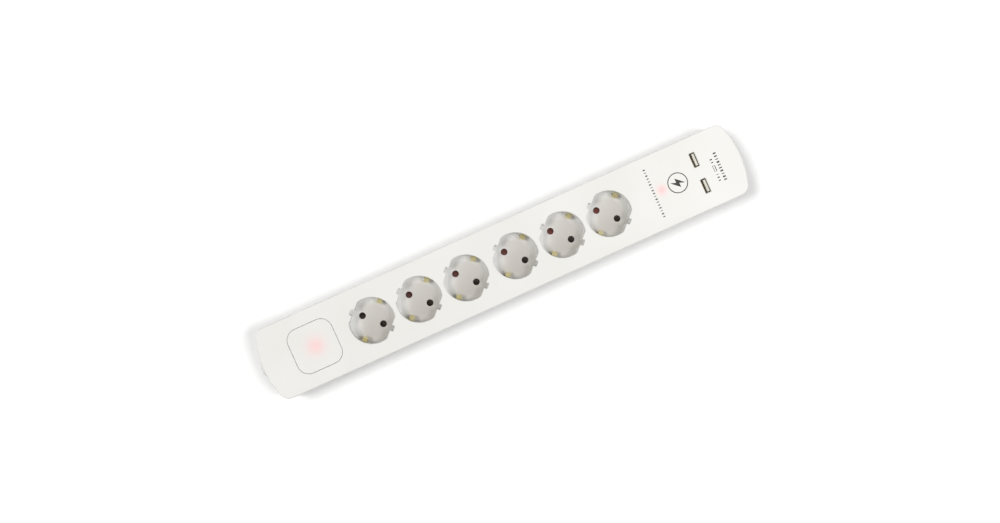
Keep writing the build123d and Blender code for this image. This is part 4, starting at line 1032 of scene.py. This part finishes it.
class POWERSTRIP_OT_print_marks(Operator):
    """Print the ring sign, the rows of bars and the current sign on the top cover"""

    bl_idname = "power_strip.print_marks"
    bl_label = "Printed Marks"

    def execute(self, context):
        scene = context.scene
        sizes = scene.strip_print
        ink = printed_ink(scene.strip_colours.ink)
        indicator, ports_x = middle("light_pipe"), middle("port_frame_1").x
        ring_place = print_place(indicator.x + sizes.ring_from_indicator, 0)
        ring = ring_sign(sizes)
        bmesh.ops.transform(ring, matrix=ring_place, verts=ring.verts[:])
        finish_piece("print_ring", ring, ink, "casing")

        rows = bmesh.new()
        bar = plate(sizes.bar_width, sizes.bar_height, sizes.ink_height, sizes.bar_width / 4)
        step, aside = sizes.bar_step, -sizes.port_rows_aside
        long_row_x = indicator.x + sizes.long_row_from_indicator
        bar_row(rows, bar, long_row_x, row_places(sizes.long_row_count, step, 0))
        port_row_x = ports_x + sizes.port_row_from_ports
        bar_row(rows, bar, port_row_x, row_places(sizes.port_row_count, step, aside), PORT_ROW_SCALE)
        rating_row_x = ports_x + sizes.rating_row_from_ports
        sign_room = sizes.direct_current_length / 2 + step / 2
        for side, count in RATING_ROW_COUNTS.items():
            centre = aside + side * (sign_room + count / 2 * step)
            bar_row(rows, bar, rating_row_x, row_places(count, step, centre))
        bar.free()
        direct_current(rows, sizes, print_place(rating_row_x, aside))
        finish_piece("print_rows", rows, ink, "casing")
        return {"FINISHED"}


def printed_ink(colour):
    """Matt pad-printed ink with a slightly broken surface."""
    finish = Finish("print_ink")
    speckle = finish.noise(0.0003, detail=3)
    finish.drive("Base Color", finish.blend(finish.spread(speckle, 0, 1), colour, darker(colour, -0.35)))
    finish.gloss(speckle, 0.5, 0.66)
    return finish


def print_place(x, y):
    """Place of a mark on the top cover, which reads across the strip."""
    return Matrix.Translation((x, y, TOP)) @ Matrix.Rotation(-pi / 2, 4, "Z")


def ring_sign(sizes):
    """Plain ring with a bolt in it."""
    outer = sizes.ring_diameter / 2
    inner = outer - sizes.ring_line
    top = sizes.ink_height
    form = turned([(inner, 0), (outer, 0), (outer, top), (inner, top), (inner, 0)], RING_STEPS)
    bmesh.ops.recalc_face_normals(form, faces=form.faces[:])
    bolt = outline([(x * sizes.bolt_height, y * sizes.bolt_height) for x, y in BOLT_SHARES], top)
    stamp(form, bolt, Matrix.Identity(4))
    bolt.free()
    return form


def row_places(count, step, centre):
    """Even places of a row about a centre."""
    return [centre + (index - (count - 1) / 2) * step for index in range(count)]


def bar_row(form, bar, x, places, size=1):
    """Row of bars across the strip, wider and narrower by turns."""
    for index, across in enumerate(places):
        width = size * (1 + BAR_SWING * sin(BAR_BEAT * index))
        stamp(form, bar, print_place(x, across) @ Matrix.Diagonal((width, size, 1, 1)))


def direct_current(form, sizes, place):
    """Direct current sign: a line over three dashes."""
    length = sizes.direct_current_length
    line = length * CURRENT_LINE_SHARE
    aside = line * CURRENT_LINE_ASIDE
    bar = plate(length, line, sizes.ink_height, line / 4)
    stamp(form, bar, place @ Matrix.Translation((0, aside, 0)))
    bar.free()
    dash = plate(length * CURRENT_DASH_SHARE, line, sizes.ink_height, line / 4)
    for index in (-1, 0, 1):
        stamp(form, dash, place @ Matrix.Translation((index * length * CURRENT_DASH_STEP, -aside, 0)))
    dash.free()


# Stage

# Angles off the vertical at which the strip sees each soft box, along it and across it, in degrees
SOFT_BOXES = {
    "key": ((-26, -12), (4, 18)),
    "counter": ((9, 22), (-14, -3)),
}
SENSOR_WIDTH = 36


class POWERSTRIP_OT_stage(Operator):
    """Lay the floor, hang the lamps and set the camera"""

    bl_idname = "power_strip.stage"
    bl_label = "Stage"

    def execute(self, context):
        scene = context.scene
        stage = scene.strip_stage
        lay_floor(stage)
        light_world(scene, stage)
        hang_lamps(scene, stage)
        set_camera(scene, stage)
        scene.view_settings.view_transform = "Standard"
        return {"FINISHED"}


def seen_rays(nodes, links):
    """One for rays that show a surface directly, in a mirror or through glass, and nought for others."""
    path = nodes.new("ShaderNodeLightPath")
    seen = path.outputs["Is Camera Ray"]
    for name in ("Is Glossy Ray", "Is Transmission Ray"):
        either = nodes.new("ShaderNodeMath")
        either.operation = "MAXIMUM"
        links.new(seen, either.inputs[0])
        links.new(path.outputs[name], either.inputs[1])
        seen = either.outputs["Value"]
    return seen


def lay_floor(stage):
    """Pale floor that keeps the strip's shadow and turns white further off where it is seen."""
    form = bmesh.new()
    bmesh.ops.create_grid(form, x_segments=1, y_segments=1, size=stage.floor_size / 2)
    mesh = bpy.data.meshes.new("floor")
    form.to_mesh(mesh)
    form.free()
    floor = bpy.data.objects.new("floor", mesh)
    bpy.context.scene.collection.objects.link(floor)
    finish = Finish("floor_pale")
    seen = seen_rays(finish.nodes, finish.links)
    finish.drive("Base Color", finish.blend(seen, stage.floor_bounce, stage.floor_colour))
    finish.set("Roughness", 0.9)
    finish.set("Specular IOR Level", 0.1)
    finish.set("Emission Color", (1, 1, 1, 1))
    away = finish.reach(finish.place)
    lift = finish.spread(away, stage.floor_lift, 1, (stage.floor_clear, stage.floor_white))
    finish.drive("Emission Strength", finish.sums("MULTIPLY", seen, lift))
    mesh.materials.append(finish.material)


def light_world(scene, stage):
    """Even light from all round, white where it is seen itself."""
    world = bpy.data.worlds.new("studio")
    world.use_nodes = True
    nodes, links = world.node_tree.nodes, world.node_tree.links
    background = nodes["Background"]
    background.inputs["Color"].default_value = (1, 1, 1, 1)
    level = nodes.new("ShaderNodeMapRange")
    level.inputs["To Min"].default_value = stage.world_level
    level.inputs["To Max"].default_value = 1
    links.new(seen_rays(nodes, links), level.inputs["Value"])
    links.new(level.outputs["Result"], background.inputs["Strength"])
    scene.world = world


def hang_lamps(scene, stage):
    """Two soft boxes high over opposite corners, and a small lamp over the charging end."""
    for name, (along, across) in SOFT_BOXES.items():
        x_ends = [stage.lamp_height * tan(radians(angle)) for angle in along]
        y_ends = [stage.lamp_height * tan(radians(angle)) for angle in across]
        place = Vector((sum(x_ends) / 2, sum(y_ends) / 2, stage.lamp_height))
        slant = place.length / stage.lamp_height
        box = bpy.data.lights.new(name, "AREA")
        box.shape = "RECTANGLE"
        box.size = x_ends[1] - x_ends[0]
        box.size_y = y_ends[1] - y_ends[0]
        # The power makes up for distance and slant, so a level gives the strip the same light anywhere
        box.energy = getattr(stage, f"{name}_level") * (pi * stage.lamp_height) ** 2 * slant**4
        hang(scene, name, box, place)
    small = bpy.data.lights.new("fill", "AREA")
    small.size = stage.fill_size
    small.energy = stage.fill_power
    hang(scene, "fill", small, (CAD_BOX[1].x, 0, TOP + stage.fill_height))


def hang(scene, name, light, place):
    """Put up a lamp that shines straight down and is seen neither directly nor in reflections."""
    lamp = bpy.data.objects.new(name, light)
    lamp.location = place
    lamp.visible_camera = False
    lamp.visible_glossy = False
    scene.collection.objects.link(lamp)


def set_camera(scene, stage):
    """Camera almost straight above the strip, turned so that the strip lies askew."""
    data = bpy.data.cameras.new("camera")
    data.sensor_width = SENSOR_WIDTH
    data.lens = stage.camera_lens
    camera = bpy.data.objects.new("camera", data)
    along = middle("socket_cup_1").x + stage.camera_from_first_socket
    camera.location = (along, stage.camera_aside, stage.camera_height)
    camera.rotation_euler = stage.camera_turn
    scene.collection.objects.link(camera)
    scene.camera = camera


# Panel and registration


class POWERSTRIP_PT_panel(Panel):
    """Lists the steps that dress the strip, with their settings"""

    bl_idname = "POWERSTRIP_PT_panel"
    bl_label = "Surge Protector Strip"
    bl_space_type = "VIEW_3D"
    bl_region_type = "UI"
    bl_category = "Power Strip"

    def draw(self, context):
        layout = self.layout
        for step in STEPS:
            layout.operator(step.bl_idname)
        for label, group in SETTINGS.items():
            box = layout.box()
            box.label(text=label)
            settings = getattr(context.scene, group)
            for name in settings.__annotations__:
                box.prop(settings, name)


STEPS = (
    POWERSTRIP_OT_casing,
    POWERSTRIP_OT_switch,
    POWERSTRIP_OT_sockets,
    POWERSTRIP_OT_springs,
    POWERSTRIP_OT_ports,
    POWERSTRIP_OT_inner_works,
    POWERSTRIP_OT_screws,
    POWERSTRIP_OT_print_marks,
    POWERSTRIP_OT_stage,
)
SETTINGS = {
    "Colours": "strip_colours",
    "Finish": "strip_finish",
    "Print": "strip_print",
    "Fittings": "strip_fittings",
    "Stage": "strip_stage",
}
GROUPS = (StripColours, StripFinish, StripPrint, StripFittings, StripStage)


def register():
    for group in GROUPS:
        bpy.utils.register_class(group)
    for name, group in zip(SETTINGS.values(), GROUPS):
        setattr(bpy.types.Scene, name, PointerProperty(type=group))
    for step in STEPS:
        bpy.utils.register_class(step)
    bpy.utils.register_class(POWERSTRIP_PT_panel)


def unregister():
    bpy.utils.unregister_class(POWERSTRIP_PT_panel)
    for step in reversed(STEPS):
        bpy.utils.unregister_class(step)
    for name in SETTINGS.values():
        delattr(bpy.types.Scene, name)
    for group in reversed(GROUPS):
        bpy.utils.unregister_class(group)


def main():
    register()
    bpy.ops.power_strip.casing()
    bpy.ops.power_strip.switch()
    bpy.ops.power_strip.sockets()
    bpy.ops.power_strip.springs()
    bpy.ops.power_strip.ports()
    bpy.ops.power_strip.inner_works()
    bpy.ops.power_strip.screws()
    bpy.ops.power_strip.print_marks()
    bpy.ops.power_strip.stage()


if __name__ == "__main__":
    main()
